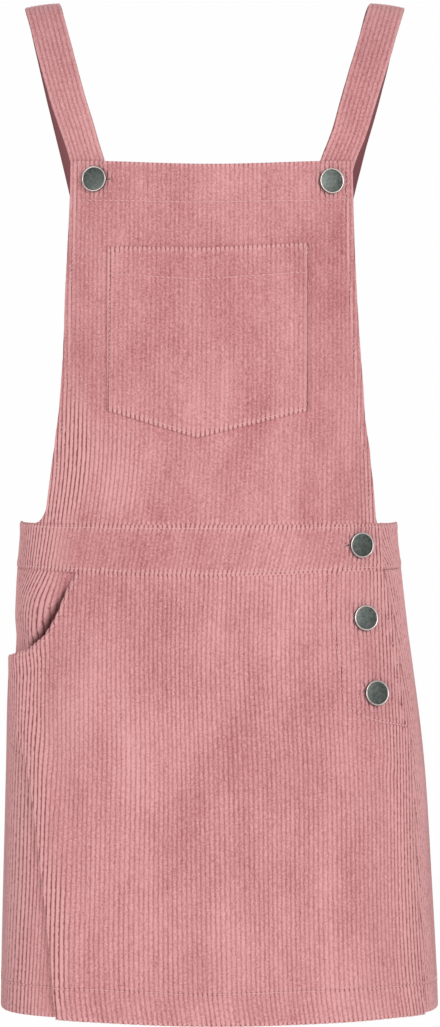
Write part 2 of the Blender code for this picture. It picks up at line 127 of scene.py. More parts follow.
# Where the pile opens: from which bend to which, less at the right, and how high its ridges stand
OPEN_FROM = 9.0
OPEN_TO = 14.0
OPEN_RIGHT = 0.75
OPEN_RISE = 0.9
CLOSED = 0.66
LOOSE_CORE = 1.6
LOOSE_FALL = 1.2
# How the wales wander, how far and over what width and height, and how their height varies
WANDER = ((0.00018, 0.0110, 0.035), (0.00007, 0.0036, 0.010))
VARIES = 0.16
VARIES_OVER = 0.03
ROUNDNESS = 0.6
# How the cloth turns down at its edges, what is left of its thickness and ridges there, and how far its
# pile is pinched beside an edge, a line of stitches, which also puffs it up, and a button, a pinch that is
# painted as highlight and shade
EDGE_ROLL = 0.0013
EDGE_THICKNESS = 0.30
EDGE_RIDGE = 0.45
EDGE_PINCH = 0.0015
SEAM_WIDTH = 0.0009
SEAM_PINCH = 0.0013
PUFF = 0.45
PUFF_AT = 0.0017
PUFF_WIDTH = 0.0007
RING_AT = 0.0108
RING_WIDTH = 0.0022
RING_PINCH = 0.9
# How its mesh is spaced: rows of points in from an edge and across a seam, room left round both, lines
# too short for that, slivers left at the first and last wale, and the points that distances are read from
EDGE_ROWS = np.array([0.0, 0.00035, 0.0009, 0.0018])
SEAM_ROWS = np.array([-0.0021, -0.0014, -0.0009, -0.0004, 0.0, 0.0004, 0.0009, 0.0014, 0.0021])
EDGE_ROOM = 0.0026
SEAM_ROOM = 0.0024
END_ROOM = 0.004
LEVEL_RUN = 8
SHORT_LINE = 0.006
SHORT_STEP = 0.0008
LINE_ROOM = 0.3
SLIVER = 2e-6
INNER_ROWS = 4
INNER_CLIMB = 1.5
EDGE_STEP = 0.0003
SEAM_STEP = 0.0004
WALE_TRIES = 12
UP, WALE = 1, 2
UNEVEN = np.random.default_rng(11).uniform(-1, 1, (3, 256, 256))


def smoothed(rows, field, height):
    """Read one column of a table at any height, on a smooth curve through its rows."""
    rows = rows[::-1]
    heights = [row.height for row in rows]
    values = [getattr(row, field) for row in rows]
    low = int(np.clip(np.searchsorted(heights, height) - 1, 1, len(rows) - 3))
    run = heights[low + 1] - heights[low]
    slope_low = (values[low + 1] - values[low - 1]) / (heights[low + 1] - heights[low - 1])
    slope_high = (values[low + 2] - values[low]) / (heights[low + 2] - heights[low])
    part = (height - heights[low]) / run
    return (
        (2 * part**3 - 3 * part**2 + 1) * values[low]
        + (part**3 - 2 * part**2 + part) * run * slope_low
        + (3 * part**2 - 2 * part**3) * values[low + 1]
        + (part**3 - part**2) * run * slope_high
    )


def form_grid(turn):
    """Places and outward normals of the form at each height, measured round from the front's middle,
    or from the back's with a half turn; and half the way round."""
    angles = np.linspace(-math.pi, math.pi, FORM_ANGLES)
    grid = np.empty((len(GRID_UP), len(GRID_ACROSS), 4))
    halves = []
    for row, height in enumerate(GRID_UP):
        middle, half_width, front, back, squareness = (
            smoothed(RINGS, field, height) for field in Ring._fields[1:])
        depth = np.where(np.cos(angles + turn) > 0, front, back)
        radius = (np.abs(np.sin(angles + turn) / half_width) ** squareness
                  + np.abs(np.cos(angles + turn) / depth) ** squareness) ** (-1 / squareness)
        xs = middle + radius * np.sin(angles + turn)
        ys = -radius * np.cos(angles + turn)
        around = np.concatenate([[0.0], np.cumsum(np.hypot(np.diff(xs), np.diff(ys)))])
        halves.append(around[-1] / 2)
        around -= around[len(angles) // 2]
        slope_x, slope_y = np.gradient(xs), np.gradient(ys)
        length = np.hypot(slope_x, slope_y)
        for column, values in enumerate((xs, ys, slope_y / length, -slope_x / length)):
            grid[row, :, column] = np.interp(GRID_ACROSS, around, values)
    return grid, np.array(halves)


def form_bend(grid):
    """How sharply the form bends round the body at each place, as one over its radius."""
    ahead, behind = np.roll(grid, -BEND_REACH, axis=1), np.roll(grid, BEND_REACH, axis=1)
    turn = ahead[:, :, 2] * behind[:, :, 3] - ahead[:, :, 3] * behind[:, :, 2]
    return np.abs(turn) / (2 * BEND_REACH * (GRID_ACROSS[1] - GRID_ACROSS[0]))


FRONT_GRID, HALF_ROUND = form_grid(0.0)
BACK_GRID = form_grid(math.pi)[0]
BACK_BEND = form_bend(BACK_GRID)


def between(grid, columns, across, up):
    """Read a grid over GRID_UP and the given columns at any place."""
    column = np.clip((across - columns[0]) / (columns[1] - columns[0]), 0, len(columns) - LAST_CELL)
    row = np.clip((up - GRID_UP[0]) / (GRID_UP[1] - GRID_UP[0]), 0, len(GRID_UP) - LAST_CELL)
    left, low = column.astype(int), row.astype(int)
    beside, above = column - left, row - low
    if grid.ndim == 3:
        beside, above = beside[:, None], above[:, None]
    lower = grid[low, left] * (1 - beside) + grid[low, left + 1] * beside
    upper = grid[low + 1, left] * (1 - beside) + grid[low + 1, left + 1] * beside
    return lower * (1 - above) + upper * above


def on_form(grid, across, up, out):
    """Points out from the form's surface."""
    spot = between(grid, GRID_ACROSS, across, up)
    return np.column_stack([spot[:, 0] + spot[:, 2] * out, spot[:, 1] + spot[:, 3] * out, up])


def back_place(across, up, out):
    """The back pieces lie straight on the form."""
    return on_form(BACK_GRID, across, up, out)


def half_round(height):
    """Half the way round the form."""
    return np.interp(height, GRID_UP, HALF_ROUND)


def on_edge(rows, field, height):
    """How far across a side edge lies at a height."""
    return np.interp(height, [row.height for row in rows[::-1]], [getattr(row, field) for row in rows[::-1]])


def ease(part):
    """A soft step from 0 to 1."""
    part = np.clip(part, 0, 1)
    return part * part * (3 - 2 * part)


def bell(away, width):
    """1 at a place and next to nothing twice the width away from it."""
    return np.exp(-(away / width) ** 2)


def uneven(layer, u, v):
    """Soft unevenness from -1 to 1 that changes over about one unit of u or v."""
    low_u, low_v = np.floor(u).astype(int), np.floor(v).astype(int)
    part_u, part_v = ease(u - low_u), ease(v - low_v)
    field, size = UNEVEN[layer], UNEVEN.shape[1]
    first, second = (
        field[low_u % size, row % size] * (1 - part_u) + field[(low_u + 1) % size, row % size] * part_u
        for row in (low_v, low_v + 1))
    return first * (1 - part_v) + second * part_v


def drawn(corners, step=0.001):
    """A line through corners, with a point at least every step."""
    corners = np.array(corners, float)
    points = [corners[:1]]
    for start, end in zip(corners[:-1], corners[1:]):
        count = max(1, math.ceil(np.hypot(*(end - start)) / step))
        points.append(start + (end - start) * np.arange(1, count + 1)[:, None] / count)
    return np.concatenate(points)


def wale_paths(start, rows):
    """How far across each wale runs at every height. A wale is named by where it crosses the height
    start, and rows give how far it leans there, in degrees: height, then across and lean in turn."""
    rows = sorted(rows)
    levels = np.array([row[0] for row in rows])

    def slope(across, height):
        spot = np.interp(height, levels, np.arange(len(levels)))
        low = min(int(spot), len(levels) - 2)
        leans = [np.interp(across, rows[low + k][1::2], rows[low + k][2::2]) for k in (0, 1)]
        return np.tan(np.radians(leans[0] + (leans[1] - leans[0]) * (spot - low)))

    paths = np.empty((len(GRID_UP), len(GRID_WALES)))
    first = int(round((start - GRID_UP[0]) / (GRID_UP[1] - GRID_UP[0])))
    for turn in (-1, 1):
        across = GRID_WALES.copy()
        level = first
        while 0 <= level < len(GRID_UP):
            paths[level] = across
            across = across - turn * slope(across, GRID_UP[level]) * (GRID_UP[1] - GRID_UP[0])
            level += turn
    return paths


def wale_across(paths, wale, up):
    """Where a wale runs at a height, with the small wander of real cloth."""
    wander = sum(far * uneven(layer, wale / wide, up / tall)
                 for layer, (far, wide, tall) in enumerate(WANDER))
    return between(paths, GRID_WALES, wale, up) + wander


def wale_at(paths, across, up):
    """Which wale runs through a place."""
    wale = across.copy()
    for _ in range(WALE_TRIES):
        wale = wale + across - wale_across(paths, wale, up)
    return wale


def fill(one, other, field, faces):
    """Fill between two chains of corners, the second to the right of the first and both running up. A
    corner is its number, height and wale, and field says which of the last two they run by."""
    here, there = 0, 0
    while here + 1 < len(one) or there + 1 < len(other):
        ahead = one[here + 1][field] if here + 1 < len(one) else math.inf
        beside = other[there + 1][field] if there + 1 < len(other) else math.inf
        if ahead <= beside:
            faces.append((one[here][0], other[there][0], one[here + 1][0]))
            here += 1
        else:
            faces.append((one[here][0], other[there][0], other[there + 1][0]))
            there += 1


def nearest(line, across, up):
    """How far places lie from a line."""
    tree = KDTree(len(line))
    for number, point in enumerate(line):
        tree.insert((point[0], point[1], 0), number)
    tree.balance()
    return np.array([tree.find((a, u, 0))[2] for a, u in zip(across, up)])


def opened(bend, loose, across, up):
    """How far the pile parts, from 0 to 1: corduroy that bends round a body opens its grooves, more at
    the left than at the right, and it is open in loose places too, each an oval: across, up, half its
    width, half its height and how far. The parting raises the ridges and is also painted as highlight and
    shade."""
    parting = np.zeros(len(up))
    if bend is not None:
        parting = ease((between(bend, GRID_ACROSS, across, up) - OPEN_FROM) / (OPEN_TO - OPEN_FROM))
        parting *= np.where(across > 0, OPEN_RIGHT, 1.0)
    for middle, height, half_width, half_height, most in loose:
        away = np.hypot((across - middle) / half_width, (up - height) / half_height)
        parting = np.maximum(parting, most * ease(LOOSE_CORE - LOOSE_FALL * away))
    return parting


def level_runs(seams):
    """The stretches of seams that run across the wales."""
    runs = []
    for line in seams:
        step = np.abs(np.diff(line, axis=0))
        ends = np.flatnonzero(np.diff(np.concatenate([[0], step[:, 0] > step[:, 1], [0]])))
        for start, end in zip(ends[::2], ends[1::2]):
            if end - start > LEVEL_RUN:
                runs.append(line[start:end + 1][np.argsort(line[start:end + 1, 0])])
    return runs


def cloth_shell(name, outline, paths, place, thickness=CLOTH, ridge=RIDGE, per_wale=6, row_step=0.004,
                folds=None, dents=None, scallop=0.0, seams=(), pull=0.0008, rings=(), bend=None, loose=(),
                shade=None):
    """A piece of corduroy as a closed shell. Its outside follows the wales, its inside is plain. Seams are
    the lines of stitches through it, which pull the pile down and puff it up on both sides."""
    outline_wales = wale_at(paths, outline[:, 0], outline[:, 1])
    crossed_seams = level_runs(seams)
    step = WALE_PITCH / per_wale
    first, last = outline_wales.min(), outline_wales.max()
    numbers = np.arange(math.ceil(first / step + LINE_ROOM), math.floor(last / step - LINE_ROOM) + 1)
    lines = np.concatenate([[first + SLIVER], numbers * step, [last - SLIVER]])
    rows = np.arange(outline[:, 1].min(), outline[:, 1].max(), row_step)
    run = np.roll(outline_wales, -1) - outline_wales
    rise = np.roll(outline[:, 1], -1) - outline[:, 1]
    spots, faces = [], []

    def profile(wale):
        return np.sin(np.pi * (wale / WALE_PITCH % 1.0)) ** ROUNDNESS

    def reach(line):
        parts = np.divide(line - outline_wales, run, out=np.full(len(run), -1.0), where=run != 0)
        crossed = (parts >= 0) & (parts <= 1)
        crossings = outline[crossed, 1] + parts[crossed] * rise[crossed]
        bulge = scallop * profile(line)
        return crossings.min() - bulge, crossings.max() + bulge

    def close_levels(line, low, high):
        if high - low < SHORT_LINE:
            return np.linspace(low, high, 2 + int((high - low) / SHORT_STEP))
        free = rows[(rows > low + EDGE_ROOM) & (rows < high - EDGE_ROOM)]
        extra = [low + EDGE_ROWS, high - EDGE_ROWS[::-1]]
        for seam_line in crossed_seams:
            up = seam_line[:, 1].mean()
            for _ in range(3):
                across = wale_across(paths, np.array([line]), np.array([up]))[0]
                up = np.interp(across, seam_line[:, 0], seam_line[:, 1])
            if seam_line[0, 0] <= across <= seam_line[-1, 0] and low + END_ROOM < up < high - END_ROOM:
                free = free[np.abs(free - up) > SEAM_ROOM]
                extra.append(up + SEAM_ROWS)
        return np.sort(np.concatenate([free, *extra]))

    def few_levels(low, high):
        few = rows[::INNER_ROWS]
        return np.array([low, *few[(few > low + END_ROOM) & (few < high - END_ROOM)], high])

    def keep(wales, ups):
        spots.extend(zip(wales, ups))
        return [(len(spots) - len(ups) + k, up, wale) for k, (up, wale) in enumerate(zip(ups, wales))]

    def joined(ends_here, links):
        chain = [ends_here[0]]
        for link, after in zip(links, ends_here[1:]):
            chain += [*link, after]
        return chain

    def cover(columns, tops, bottoms, turned):
        for left, right, top, bottom in zip(columns[:-1], columns[1:], tops, bottoms):
            one = (bottom[::-1] if right[0][UP] < left[0][UP] else []) + left
            one = one + (top if right[-1][UP] > left[-1][UP] else [])
            other = (bottom if right[0][UP] >= left[0][UP] else []) + right
            other = other + (top[::-1] if right[-1][UP] <= left[-1][UP] else [])
            fill(*((other, one) if turned else (one, other)), UP, faces)

    reaches = [reach(line) for line in lines]
    outer = [close_levels(line, *span) for line, span in zip(lines, reaches)]
    columns = [keep(np.full(len(ups), line), ups) for line, ups in zip(lines, outer)]
    edges = []
    for end in (1, 0):
        links = []
        for here, after, line, beside_it in zip(reaches[:-1], reaches[1:], lines[:-1], lines[1:]):
            climb = after[end] - here[end]
            count = int(abs(climb) / row_step)
            parts = np.arange(1, count + 1) / (count + 1)
            links.append(keep(line + (beside_it - line) * parts, here[end] + climb * parts))
        edges.append(links)
    outside = len(spots)

    inside = [0, *(1 + np.flatnonzero(numbers % (2 * per_wale) == 0)), len(lines) - 1]
    inner_columns = [keep(np.full(len(ups), lines[number]), ups)
                     for number in inside for ups in [few_levels(*reaches[number])]]
    inner_edges = []
    for end, links in zip((-1, 0), edges):
        inner_links = []
        for here, after in zip(inside[:-1], inside[1:]):
            chain = joined([columns[number][end] for number in range(here, after + 1)], links[here:after])
            low, high = sorted((chain[0][UP], chain[-1][UP]))
            chosen, before = [], chain[0][UP]
            for _, up, wale in chain[1:-1]:
                onward = (up - before) * (1 if chain[-1][UP] > chain[0][UP] else -1)
                if onward > INNER_CLIMB * row_step and low + row_step < up < high - row_step:
                    chosen.append((wale, up))
                    before = up
            inner_links.append(keep(*np.array(chosen).reshape(-1, 2).T))
        inner_edges.append(inner_links)

    wales, ups = np.array(spots).T
    across = wale_across(paths, wales, ups)
    seen_wales, seen_across, seen_ups = wales[:outside], across[:outside], ups[:outside]
    edge = nearest(drawn(np.vstack([outline, outline[:1]]), EDGE_STEP), seen_across, seen_ups)
    roll = np.sqrt(1 - (1 - np.clip(edge / EDGE_ROLL, 0, 1)) ** 2)

    def from_edge(share):
        return share + (1 - share) * roll

    out = folds(across, ups) if folds else np.zeros(len(ups))
    parting = opened(bend, loose, seen_across, seen_ups)
    wave = profile(seen_wales) * (1 + VARIES * uneven(2, seen_wales / WALE_PITCH, seen_ups / VARIES_OVER))
    wave *= CLOSED + (1 + OPEN_RISE - CLOSED) * parting
    out[:outside] += thickness * from_edge(EDGE_THICKNESS) + ridge * wave * from_edge(EDGE_RIDGE)
    # The pinch is painted light: the material lightens the ridges and darkens the grooves by it, beside
    # edges, stitches and buttons and where the pile parts
    pinch_highlight_and_shade = np.maximum(parting, bell(edge, EDGE_PINCH))
    if seams:
        away = nearest(np.concatenate([drawn(line, SEAM_STEP) for line in seams]), seen_across, seen_ups)
        furrow = PUFF * bell(away - PUFF_AT, PUFF_WIDTH) - bell(away, SEAM_WIDTH)
        out[:outside] += pull * furrow * from_edge(EDGE_THICKNESS)
        pinch_highlight_and_shade = np.maximum(pinch_highlight_and_shade, bell(away, SEAM_PINCH))
    for button in rings:
        away = np.hypot(seen_across - button.across, seen_ups - button.height)
        pinch_highlight_and_shade = np.maximum(pinch_highlight_and_shade, RING_PINCH * bell(away - RING_AT, RING_WIDTH))
    if dents:
        out[:outside] += dents(seen_across, seen_ups) * from_edge(EDGE_THICKNESS)
    points = place(across, ups, out)

    cover(columns, *edges, False)
    tops, bottoms = (joined([column[end] for column in columns], links) for end, links in zip((-1, 0), edges))
    inner_tops, inner_bottoms = (joined([column[end] for column in inner_columns], links)
                                 for end, links in zip((-1, 0), inner_edges))
    for one, other, field in ((inner_tops, tops, WALE), (bottoms, inner_bottoms, WALE),
                              (columns[-1], inner_columns[-1], UP), (inner_columns[0], columns[0], UP)):
        fill(one, other, field, faces)
    rim_count = len(faces)
    cover(inner_columns, *inner_edges, True)

    corners = points[np.array(faces)]
    volume = np.einsum("ij,ij->i", corners[:, 0], np.cross(corners[:, 1], corners[:, 2])).sum()
    if volume < 0:
        faces = [face[::-1] for face in faces]
    mesh = bpy.data.meshes.new(name)
    mesh.from_pydata(points.tolist(), [], faces)
    mesh.shade_smooth()
    layer = mesh.uv_layers.new(name="wales")
    loops = np.empty(len(mesh.loops), int)
    mesh.loops.foreach_get("vertex_index", loops)
    layer.data.foreach_set("uv", np.column_stack([wales, ups])[loops].ravel() / WALE_PITCH)
    pinch_highlight_and_shade_mask = mesh.attributes.new("pinch_highlight_and_shade", "FLOAT", "POINT")
    pinch_highlight_and_shade_mask.data.foreach_set("value", np.concatenate([pinch_highlight_and_shade, np.zeros(len(ups) - outside)]))
    # Painted shade: the material darkens the cloth by this attribute
    if shade:
        mesh.attributes.new("shade", "FLOAT", "POINT").data.foreach_set("value", shade(across, ups))
    mesh.materials.append(corduroy)
    mesh.materials.append(corduroy_inside_in_painted_shade)
    index = np.zeros(len(faces), int)
    index[rim_count:] = 1
    mesh.polygons.foreach_set("material_index", index)
    return placed(name, mesh)


def sewn(piece, node):
    """Hang a cut piece in its node's place and hide the node's solid."""
    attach(piece, "root")
    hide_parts(node)


def soft_folds(rows):
    """Soft troughs (depth under 0) and ridges from one place to another, fading towards both ends."""
    def fold(across, up):
        out = np.zeros(len(up))
        for start_across, start_up, end_across, end_up, width, depth in rows:
            run_across, run_up = end_across - start_across, end_up - start_up
            square = run_across**2 + run_up**2
            along = ((across - start_across) * run_across + (up - start_up) * run_up) / square
            along = np.clip(along, 0, 1)
            away = np.hypot(across - start_across - run_across * along, up - start_up - run_up * along)
            out += depth * bell(away, width) * (1 - np.abs(2 * along - 1) ** 3)
        return out
    return fold


def linear(code):
    """An sRGB hex colour as the linear one that the shaders take."""
    parts = [int(code[spot:spot + 2], 16) / 255 for spot in (0, 2, 4)]
    return (*(part / 12.92 if part <= 0.04045 else ((part + 0.055) / 1.055) ** 2.4 for part in parts), 1.0)


def feed(node, **inputs):
    """Give inputs of a node a value or a socket to link, each by its name or, as i0 and on, its number."""
    for name, value in inputs.items():
        socket = node.inputs[int(name[1:]) if name[1:].isdigit() else name.replace("_", " ")]
        if isinstance(value, bpy.types.NodeSocket):
            node.id_data.links.new(value, socket)
        else:
            socket.default_value = value


def add(tree, kind, settings=(), out=0, **inputs):
    """Add a shader node with its settings and inputs, and give back the output that is asked for."""
    node = tree.nodes.new("ShaderNode" + kind)
    for name, value in dict(settings).items():
        setattr(node, name, value)
    feed(node, **inputs)
    return node.outputs[out]


def new_material(name):
    """A material with nodes, its node tree and its shader."""
    made = bpy.data.materials.new(name)
    made.use_nodes = True
    return made, made.node_tree, made.node_tree.nodes["Principled BSDF"]


# Wide-wale cotton corduroy, cut pile brushed upright: soft rounded ridges 3.6 mm apart with painted shade in
# the grooves, which shows in patches where the pile is parted, a painted highlight along the crests, painted
# highlight and shade where the pile is pinched or parted, painted shade in the pocket's gap and the
# buttonholes, a fine speckle of pile ends, streaks and clouds where the pile leans, and a pale bloom where it
# is seen edge on
corduroy, tree, shader = new_material("brushed_wide_wale_cotton_corduroy")
place_on = add(tree, "TexCoord", out="Object")
wale_map = add(tree, "UVMap", {"uv_map": "wales"})
pinch_highlight_and_shade_mask = add(tree, "Attribute", {"attribute_name": "pinch_highlight_and_shade"}, out="Fac")
shaded = add(tree, "Attribute", {"attribute_name": "shade"}, out="Fac")

# Its patterns: the grooves' edges wander every 3 mm, the pile is parted in patches 12 by 50 mm, streaked
# over 2 by 10 mm and brushed over 4 by 48 mm, with clouds 40 mm wide, and its ends show as a speckle of
# 1.4 mm and a grain of 0.4 mm, coarser than the real fibres so that they show
noise = {}
for name, where, stretch, scale, detail, roughness in (
    ("jitter", place_on, (1.0, 1.0, 1.0), 330.0, 2.0, 0.60),
    ("patch", wale_map, (0.30, 0.07, 1.0), 1.0, 5.0, 0.72),
    ("streak", wale_map, (1.7, 0.35, 1.0), 1.0, 3.0, 0.65),
    ("brushing", wale_map, (0.9, 0.075, 1.0), 1.0, 2.0, 0.50),
    ("cloud", place_on, (1.0, 1.0, 0.45), 26.0, 4.0, 0.60),
    ("speckle", place_on, (1.0, 1.0, 1.0), 720.0, 2.0, 0.70),
    ("grain", place_on, (1.0, 1.0, 1.0), 2300.0, 1.0, 0.60),
):
    mapped = add(tree, "Mapping", Vector=where, Scale=stretch)
    noise[name] = add(tree, "TexNoise", Vector=mapped, Scale=scale, Detail=detail, Roughness=roughness)

counted = add(tree, "SeparateXYZ", Vector=wale_map)
number = add(tree, "Math", {"operation": "FLOOR"}, i0=counted)
own_tone = add(tree, "TexWhiteNoise", {"noise_dimensions": "1D"}, W=number)
spread = add(tree, "Math", {"operation": "MULTIPLY_ADD"}, i0=noise["jitter"], i1=0.48, i2=-0.24)
wandered = add(tree, "Math", {"operation": "ADD"}, i0=counted, i1=spread)
part = add(tree, "Math", {"operation": "FRACT"}, i0=wandered)
around = add(tree, "Math", {"operation": "MULTIPLY"}, i0=part, i1=math.pi)
height = add(tree, "Math", {"operation": "SINE"}, i0=around)
groove_shade = add(tree, "MapRange", {"interpolation_type": "SMOOTHSTEP"}, Value=height,
             From_Min=0.0, From_Max=0.80, To_Min=1.0, To_Max=0.0)
parted_groove_shade = add(tree, "MapRange", Value=noise["patch"], From_Min=0.30, From_Max=0.66, To_Min=0.0, To_Max=0.34)
parted_groove_shade = add(tree, "Math", {"operation": "ADD", "use_clamp": True}, i0=pinch_highlight_and_shade_mask, i1=parted_groove_shade)
groove_shade = add(tree, "Math", {"operation": "MULTIPLY"}, i0=groove_shade, i1=parted_groove_shade)
# Painted highlight along each ridge's crest
crest_highlight = add(tree, "MapRange", {"interpolation_type": "SMOOTHSTEP"}, Value=height,
            From_Min=0.78, From_Max=1.0, To_Min=0.1, To_Max=1.1)
# Painted highlight: the pile is made lighter where it is pinched or parted
level = add(tree, "Math", {"operation": "MULTIPLY_ADD"}, i0=pinch_highlight_and_shade_mask, i1=0.50, i2=0.5)
for source, weight in ((noise["streak"], 0.30), (noise["brushing"], 0.14), (own_tone, 0.05), (crest_highlight, 0.07),
                       (noise["cloud"], 0.84), (noise["speckle"], 1.55), (noise["grain"], 1.00)):
    centred = add(tree, "Math", {"operation": "SUBTRACT"}, i0=source, i1=0.5)
    level = add(tree, "Math", {"operation": "MULTIPLY_ADD"}, i0=centred, i1=weight, i2=level)
tone = add(tree, "ValToRGB", Fac=level)
ramp = tone.node.color_ramp
ramp.elements.new(0.5)
for element, position, colour in zip(ramp.elements, (0.10, 0.50, 0.90), ("AD666A", "CE8D8F", "E5A9AA")):
    element.position = position
    element.color = linear(colour)
# Painted shade: the grooves' base is darkened, and so is each place that the shade attribute marks
for weight, colour in ((groove_shade, "A27475"), (shaded, "6E5456")):
    tone = add(tree, "Mix", {"data_type": "RGBA", "blend_type": "MULTIPLY"}, out=2, i0=weight, i6=tone,
               i7=linear(colour))
pile = add(tree, "Math", {"operation": "ADD"}, i0=noise["speckle"], i1=noise["grain"])
relief = add(tree, "Bump", Height=pile, Strength=0.55, Distance=0.00035)
feed(shader, Base_Color=tone, Roughness=0.95, Specular_IOR_Level=0.15, Normal=relief, Sheen_Weight=0.45,
     Sheen_Roughness=0.50, Sheen_Tint=linear("FBDEDD"))

# The wrong side of the corduroy: the flat cotton weave that holds the pile, without ridges, and darkened as
# painted shade for the inside of the dress. Its threads are drawn 1 mm apart, coarser than real, so that they
# show
corduroy_inside_in_painted_shade, tree, shader = new_material("plain_woven_back_of_corduroy_in_painted_shade")
weave_map = add(tree, "Mapping", Vector=add(tree, "UVMap", {"uv_map": "wales"}), Scale=(3.6, 3.6, 1.0))
weave = add(tree, "TexChecker", Vector=weave_map, Scale=1.0, Color1=linear("8C5A5D"), Color2=linear("805053"))
feed(shader, Base_Color=weave, Roughness=0.95, Specular_IOR_Level=0.15)

# Edges are drawn with a point about every millimetre, and straight or level ones with fewer
heights = np.linspace(SKIRT_TOP, HEM, 353)
hip_seam = drawn([(HIP_SEAM + half_round(height), height)
                  for height in np.linspace(HIP_SEAM_END, SKIRT_TOP, 37)])
under = np.linspace(HIP_SEAM_TURN, HEM, 280)
left_side = np.column_stack([on_edge(SKIRT_SEAMS, "left", under) + TUCK + half_round(under), under])
left_side = np.vstack([hip_seam[::-1], left_side])
right_side = np.column_stack([on_edge(SKIRT_SEAMS, "right", heights) - TUCK - half_round(heights), heights])
skirt_back_outline = drawn(np.vstack([right_side[::-1], left_side, right_side[-1:]]))[:-1]
skirt_back_paths = wale_paths(SKIRT_TOP, (
    (-0.450, -0.25, -8, -0.15, -3, 0.15, 2, 0.22, 3, 0.28, 8),
    (-0.550, -0.27, -6, -0.15, -2, 0.15, 1, 0.23, 3, 0.28, 11),
    (-0.600, -0.30, -2, -0.15, -1, 0.15, 1, 0.24, 2, 0.29, 6),
    (-0.690, -0.30, 0, 0.0, 0, 0.25, 0, 0.30, 3),
    (-0.798, -0.30, 0, 0.0, 0, 0.25, 0, 0.31, 2),
))
stitch_level = HEM + HEM_STITCH
back_hem_across = np.linspace(on_edge(SKIRT_SEAMS, "right", stitch_level) - half_round(stitch_level),
                              on_edge(SKIRT_SEAMS, "left", stitch_level) + half_round(stitch_level), 60)
back_hem_stitch = np.column_stack([back_hem_across, np.full(len(back_hem_across), stitch_level)])
back_folds = soft_folds((
    (-0.215, -0.500, -0.235, -0.830, 0.026, 0.0020),
    (-0.168, -0.560, -0.172, -0.840, 0.022, -0.0024),
    (-0.096, -0.480, -0.110, -0.845, 0.030, 0.0022),
    (-0.030, -0.590, -0.026, -0.850, 0.024, -0.0020),
    (0.062, -0.520, 0.070, -0.840, 0.028, 0.0024),
    (0.118, -0.600, 0.132, -0.850, 0.020, -0.0022),
    (0.205, -0.500, 0.222, -0.835, 0.027, 0.0018),
))
seam_heights = np.linspace(SIDE_SEAM_FROM, HEM, 200)
seam_across = on_edge(SKIRT_SEAMS, "right", seam_heights) + GROOVE_BESIDE - half_round(seam_heights)
side_groove = np.column_stack([seam_across, seam_heights])


def back_relief(across, up):
    """The back's folds, and how it sinks beside the front's edge at the right side seam."""
    beside_it = across + half_round(up) - on_edge(SKIRT_SEAMS, "right", up)
    return back_folds(across, up) - TROUGH_DEPTH * bell(beside_it - TROUGH_BESIDE, TROUGH_WIDTH)


skirt_back = cloth_shell(
    "skirt_back_panel", skirt_back_outline, skirt_back_paths, back_place, per_wale=4, row_step=0.005,
    folds=back_relief, seams=[back_hem_stitch, side_groove], bend=BACK_BEND)
sewn(skirt_back, "skirt_back")


# Hip pocket facing and side underlap: the corduroy seen inside the scooped pocket mouth, and the strip
# under the buttoned side opening. Both are sewn into the waistband seam and lie against the skirt's inside.
UNDER_GAP = 0.0008
WALE_HEIGHT = 0.00055
BAND_DIP = 0.0034
BAND_RIGHT = 0.1437
POCKET_MOUTH = (
    (-0.1830, -0.5168), (-0.1700, -0.5150), (-0.1500, -0.5104), (-0.1345, -0.5000), (-0.1278, -0.4908),
    (-0.1215, -0.4797), (-0.1170, -0.4686), (-0.1130, -0.4599), (-0.1060, -0.4480),
)
FACING_LEFT = HIP_SEAM + 2 * SEAM_GAP
FACING_RIGHT = -0.0930
FACING_DEPTH = 0.014
FACING_SINK = 0.070
HIP_DENT = 0.0030
HIP_DENT_RISE = 0.035
HIP_DENT_LEFT = -0.2350
HIP_DENT_RIGHT = -0.1500
HIP_DENT_EASE = 0.020
MOUTH_HOLLOW = 0.0030
MOUTH_COVER = 0.0068
COVER_EASE = 0.014
HOLLOW_REACH = 0.0055
HOLLOW_CORE = 1.2
HOLLOW_LEFT = -0.1600
HOLLOW_RIGHT = -0.1130
HOLLOW_EASE = 0.008
UNDERLAP_LEFT = 0.1000
UNDERLAP_RIGHT = 0.1560
UNDERLAP_BOTTOM = ((UNDERLAP_LEFT, -0.535), (0.108, -0.547), (0.121, -0.560), (UNDERLAP_RIGHT, -0.566))
BAND_TOP = -0.4108
FRONT_BEND = form_bend(FRONT_GRID)


def under_place(across, up, out):
    """A piece under the front, clear of its inside."""
    return on_form(FRONT_GRID, across, up, out - UNDER_GAP - CLOTH - WALE_HEIGHT)


def dipped(level, dip, across, reach):
    """A level edge that drops towards centre front."""
    inside = np.clip(across / reach, -1, 1)
    return level - dip * np.cos(math.pi / 2 * inside) ** 2


def height_at(points, across):
    """The height of an edge drawn as (across, height) points."""
    points = sorted(points)
    return np.interp(across, [point[0] for point in points], [point[1] for point in points])


def facing_place(across, up, out):
    """The facing, level with the back at the waistband and sunk under the front's mouth."""
    above = up - height_at(POCKET_MOUTH, across)
    sunk = (UNDER_GAP + CLOTH + WALE_HEIGHT) * ease(1 - above / FACING_SINK)
    beside = ease((across - HIP_DENT_LEFT) / HIP_DENT_EASE) * ease((HIP_DENT_RIGHT - across) / HIP_DENT_EASE)
    return on_form(FRONT_GRID, across, up, out - sunk - HIP_DENT * ease(1 - above / HIP_DENT_RISE) * beside)


